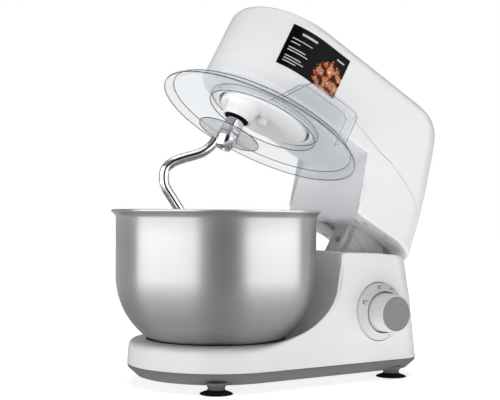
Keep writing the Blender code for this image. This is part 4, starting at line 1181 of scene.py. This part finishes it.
def add_softbox(name, azimuth, distance, height, wide, tall, radiance, mirrored_only, aim=(0, 0, 0.2),
                spread=180):
    """A rectangular area light that faces its aim, or else the mixer.

    One that is mirrored only shows in gloss and bare metal. Any other lights matt surfaces alone.
    """
    light = bpy.data.lights.new(name, "AREA")
    light.shape = "RECTANGLE"
    light.size, light.size_y = wide, tall
    light.energy = radiance * pi * wide * tall
    light.spread = radians(spread)
    made = bpy.data.objects.new(name, light)
    made.location = around_bowl(azimuth, distance) + Vector((0, 0, height))
    made.rotation_euler = (Vector(aim) - made.location).to_track_quat("-Z", "Y").to_euler()
    made.visible_camera = False
    made.visible_diffuse = not mirrored_only
    made.visible_glossy = mirrored_only
    bpy.context.scene.collection.objects.link(made)


def add_flag():
    """A black felt card that gives the polished metal something dark to reflect."""
    place = (Matrix.Translation(around_bowl(FLAG_AZIMUTH, FLAG_AWAY))
             @ Matrix.Rotation(radians(FLAG_AZIMUTH), 4, "Z"))
    flag = block("flag", (0, 4), (-FLAG_WIDE / 2, FLAG_WIDE / 2), (0, FLAG_TALL), place)
    felt = start_material("felt_black", {"Base Color": (0.01, 0.01, 0.01, 1), "Roughness": 1.0})[0]
    flag.data.materials.append(felt)
    flag.visible_camera = False
    flag.visible_shadow = False
    flag.visible_diffuse = False


def add_floor():
    """A sheet of matt white paper with a glow of its own, so that it stays white round the mixer."""
    outline = [(-FLOOR_HALF, -FLOOR_HALF), (FLOOR_HALF, -FLOOR_HALF), (FLOOR_HALF, FLOOR_HALF),
               (-FLOOR_HALF, FLOOR_HALF)]
    floor = slab("floor", outline, 0, -FLOOR_THICK, Matrix.Translation((0, 0, -FLOOR_DROP)))
    made, tree, shader = start_material("paper_matt_white", {
        "Roughness": 0.9, "Emission Color": (1, 1, 1, 1)})
    ray = add_node(tree, "ShaderNodeLightPath").outputs
    # pale to the eye and to the white shell, and darker in the polished metal
    paper = add_node(tree, "ShaderNodeMix", {"data_type": "RGBA"},
                     {0: ray["Is Glossy Ray"], 6: (0.8, 0.8, 0.8, 1), 7: (0.5, 0.5, 0.5, 1)})
    tree.links.new(paper.outputs[2], shader.inputs["Base Color"])
    unseen = add_node(tree, "ShaderNodeMath", {"operation": "MULTIPLY_ADD"},
                      {0: ray["Is Glossy Ray"], 1: -FLOOR_GLOW, 2: FLOOR_GLOW})
    # the paper brightens away from the mixer, so that it meets the room without a line
    place = add_node(tree, "ShaderNodeTexCoord").outputs["Object"]
    away = add_node(tree, "ShaderNodeVectorMath", {"operation": "LENGTH"}, {0: place}).outputs["Value"]
    seen = add_node(tree, "ShaderNodeMapRange", inputs={
        "Value": away, "From Min": 0.25, "From Max": 0.9, "To Min": FLOOR_SEEN - FLOOR_GLOW, "To Max": 0.0})
    # far paper also shows bright in the metal, so that the lamps' bands run on down the bowl's curve
    mirrored = add_node(tree, "ShaderNodeMapRange", inputs={
        "Value": away, "From Min": 0.45, "From Max": 1.1, "To Max": FLOOR_MIRRORED})
    lit = add_node(tree, "ShaderNodeMath", {"operation": "MULTIPLY_ADD"},
                   {0: ray["Is Glossy Ray"], 1: mirrored.outputs["Result"], 2: unseen.outputs[0]})
    glow = add_node(tree, "ShaderNodeMath", {"operation": "MULTIPLY_ADD"},
                    {0: ray["Is Camera Ray"], 1: seen.outputs["Result"], 2: lit.outputs[0]})
    tree.links.new(glow.outputs[0], shader.inputs["Emission Strength"])
    floor.data.materials.append(made)


def add_room():
    """An even white room: dim to the mixer, brighter in its mirrors and white behind it."""
    room = bpy.data.worlds.new("studio")
    room.use_nodes = True
    tree = room.node_tree
    tree.nodes.clear()
    ray = add_node(tree, "ShaderNodeLightPath").outputs
    soft = add_node(tree, "ShaderNodeMath", {"operation": "MULTIPLY_ADD"},
                    {0: ray["Is Glossy Ray"], 1: ROOM_MIRRORED - ROOM_FILL, 2: ROOM_FILL})
    seen = add_node(tree, "ShaderNodeMath", {"operation": "MULTIPLY_ADD"},
                    {0: ray["Is Camera Ray"], 1: 1 - ROOM_FILL, 2: soft.outputs[0]})
    shell = add_node(tree, "ShaderNodeBackground", inputs={
        "Color": (1, 1, 1, 1), "Strength": seen.outputs[0]})
    add_node(tree, "ShaderNodeOutputWorld", inputs={"Surface": shell.outputs["Background"]})
    bpy.context.scene.world = room


def add_camera():
    """The camera, a little below the bowl's rim and turned slightly about its own line of sight."""
    lens = bpy.data.cameras.new("camera")
    lens.lens = LENS_MM
    lens.sensor_width = SENSOR_MM
    lens.clip_start = 0.05
    camera = bpy.data.objects.new("camera", lens)
    camera.location = CAMERA_PLACE
    facing = (CAMERA_AIM - CAMERA_PLACE).to_track_quat("-Z", "Y").to_matrix()
    camera.rotation_euler = (facing @ Matrix.Rotation(radians(CAMERA_ROLL), 3, "Z")).to_euler()
    bpy.context.scene.collection.objects.link(camera)
    bpy.context.scene.camera = camera


def build_stage():
    """The floor, the room, the lights, the black card and the camera."""
    bpy.context.scene.view_settings.view_transform = "Standard"
    add_floor()
    add_room()
    for settings in SOFTBOXES + REFLECTORS:
        add_softbox(*settings)
    add_flag()
    add_camera()


# ---------------------------------------------------------------- operators


class MIXER_OT_base_housing(bpy.types.Operator):
    """Builds the white housing: platform, well, dish and pillar"""
    bl_idname = "mixer.base_housing"
    bl_label = "Base housing"

    def execute(self, context):
        build_base_shell()
        return {"FINISHED"}


class MIXER_OT_base_trim(bpy.types.Operator):
    """Builds the grey tray under the housing"""
    bl_idname = "mixer.base_trim"
    bl_label = "Base trim"

    def execute(self, context):
        build_base_trim()
        return {"FINISHED"}


class MIXER_OT_feet(bpy.types.Operator):
    """Builds the four suction feet"""
    bl_idname = "mixer.feet"
    bl_label = "Suction feet"

    def execute(self, context):
        build_feet()
        return {"FINISHED"}


class MIXER_OT_controls(bpy.types.Operator):
    """Builds the speed dial, the knob, the head release and its spring"""
    bl_idname = "mixer.controls"
    bl_label = "Controls"

    def execute(self, context):
        build_controls()
        build_latch_spring()
        return {"FINISHED"}


class MIXER_OT_bowl(bpy.types.Operator):
    """Builds the steel bowl and its foot ring"""
    bl_idname = "mixer.bowl"
    bl_label = "Bowl"

    def execute(self, context):
        build_bowl()
        return {"FINISHED"}


class MIXER_OT_head_housing(bpy.types.Operator):
    """Builds the head's upper housing, down to the parting line"""
    bl_idname = "mixer.head_housing"
    bl_label = "Head housing"

    def execute(self, context):
        build_head_cover()
        return {"FINISHED"}


class MIXER_OT_head_underside(bpy.types.Operator):
    """Builds the head's lower housing: the nose's underside, the neck and the back"""
    bl_idname = "mixer.head_underside"
    bl_label = "Head underside"

    def execute(self, context):
        build_head_lower()
        return {"FINISHED"}


class MIXER_OT_hinge_arm(bpy.types.Operator):
    """Builds the arm between the head and the pillar"""
    bl_idname = "mixer.hinge_arm"
    bl_label = "Hinge arm"

    def execute(self, context):
        build_hinge_arm()
        return {"FINISHED"}


class MIXER_OT_drive(bpy.types.Operator):
    """Builds the planet hub, its plug, the shaft seal and the tool spindle"""
    bl_idname = "mixer.drive"
    bl_label = "Planet drive"

    def execute(self, context):
        build_drive()
        return {"FINISHED"}


class MIXER_OT_hook(bpy.types.Operator):
    """Builds the dough hook with its collar, shield and sleeve"""
    bl_idname = "mixer.hook"
    bl_label = "Dough hook"

    def execute(self, context):
        build_hook()
        return {"FINISHED"}


class MIXER_OT_guard(bpy.types.Operator):
    """Builds the clear splash guard with its pour chute"""
    bl_idname = "mixer.guard"
    bl_label = "Splash guard"

    def execute(self, context):
        build_guard()
        return {"FINISHED"}


class MIXER_OT_label(bpy.types.Operator):
    """Builds the label on the head's side"""
    bl_idname = "mixer.label"
    bl_label = "Label"

    def execute(self, context):
        build_label()
        return {"FINISHED"}


class MIXER_OT_inner_works(bpy.types.Operator):
    """Gives the carried-over CAD nodes their finishes"""
    bl_idname = "mixer.inner_works"
    bl_label = "Inner works"

    def execute(self, context):
        finish_inner_works()
        return {"FINISHED"}


class MIXER_OT_stage(bpy.types.Operator):
    """Builds the floor, the lights and the camera"""
    bl_idname = "mixer.stage"
    bl_label = "Studio stage"

    def execute(self, context):
        build_stage()
        return {"FINISHED"}


OPERATORS = (MIXER_OT_inner_works, MIXER_OT_base_housing, MIXER_OT_base_trim, MIXER_OT_feet,
             MIXER_OT_controls, MIXER_OT_bowl, MIXER_OT_head_housing, MIXER_OT_head_underside,
             MIXER_OT_hinge_arm, MIXER_OT_drive, MIXER_OT_hook, MIXER_OT_guard, MIXER_OT_label,
             MIXER_OT_stage)


class MIXER_PT_build(bpy.types.Panel):
    """Lists the mixer's settings and the operators that build its pieces"""
    bl_label = "Stand Mixer"
    bl_idname = "MIXER_PT_build"
    bl_space_type = "VIEW_3D"
    bl_region_type = "UI"
    bl_category = "Mixer"

    def draw(self, context):
        for group in (context.scene.mixer_sizes, context.scene.mixer_colours):
            for name in group.bl_rna.properties.keys():
                if name not in ("rna_type", "name"):
                    self.layout.prop(group, name)
        for kind in OPERATORS:
            self.layout.operator(kind.bl_idname)


CLASSES = (MixerSizes, MixerColours, *OPERATORS, MIXER_PT_build)


def register():
    for kind in CLASSES:
        bpy.utils.register_class(kind)
    bpy.types.Scene.mixer_sizes = PointerProperty(type=MixerSizes)
    bpy.types.Scene.mixer_colours = PointerProperty(type=MixerColours)


def unregister():
    del bpy.types.Scene.mixer_colours
    del bpy.types.Scene.mixer_sizes
    for kind in reversed(CLASSES):
        bpy.utils.unregister_class(kind)


def main():
    register()
    for kind in OPERATORS:
        group, name = kind.bl_idname.split(".")
        getattr(getattr(bpy.ops, group), name)()


if __name__ == "__main__":
    main()
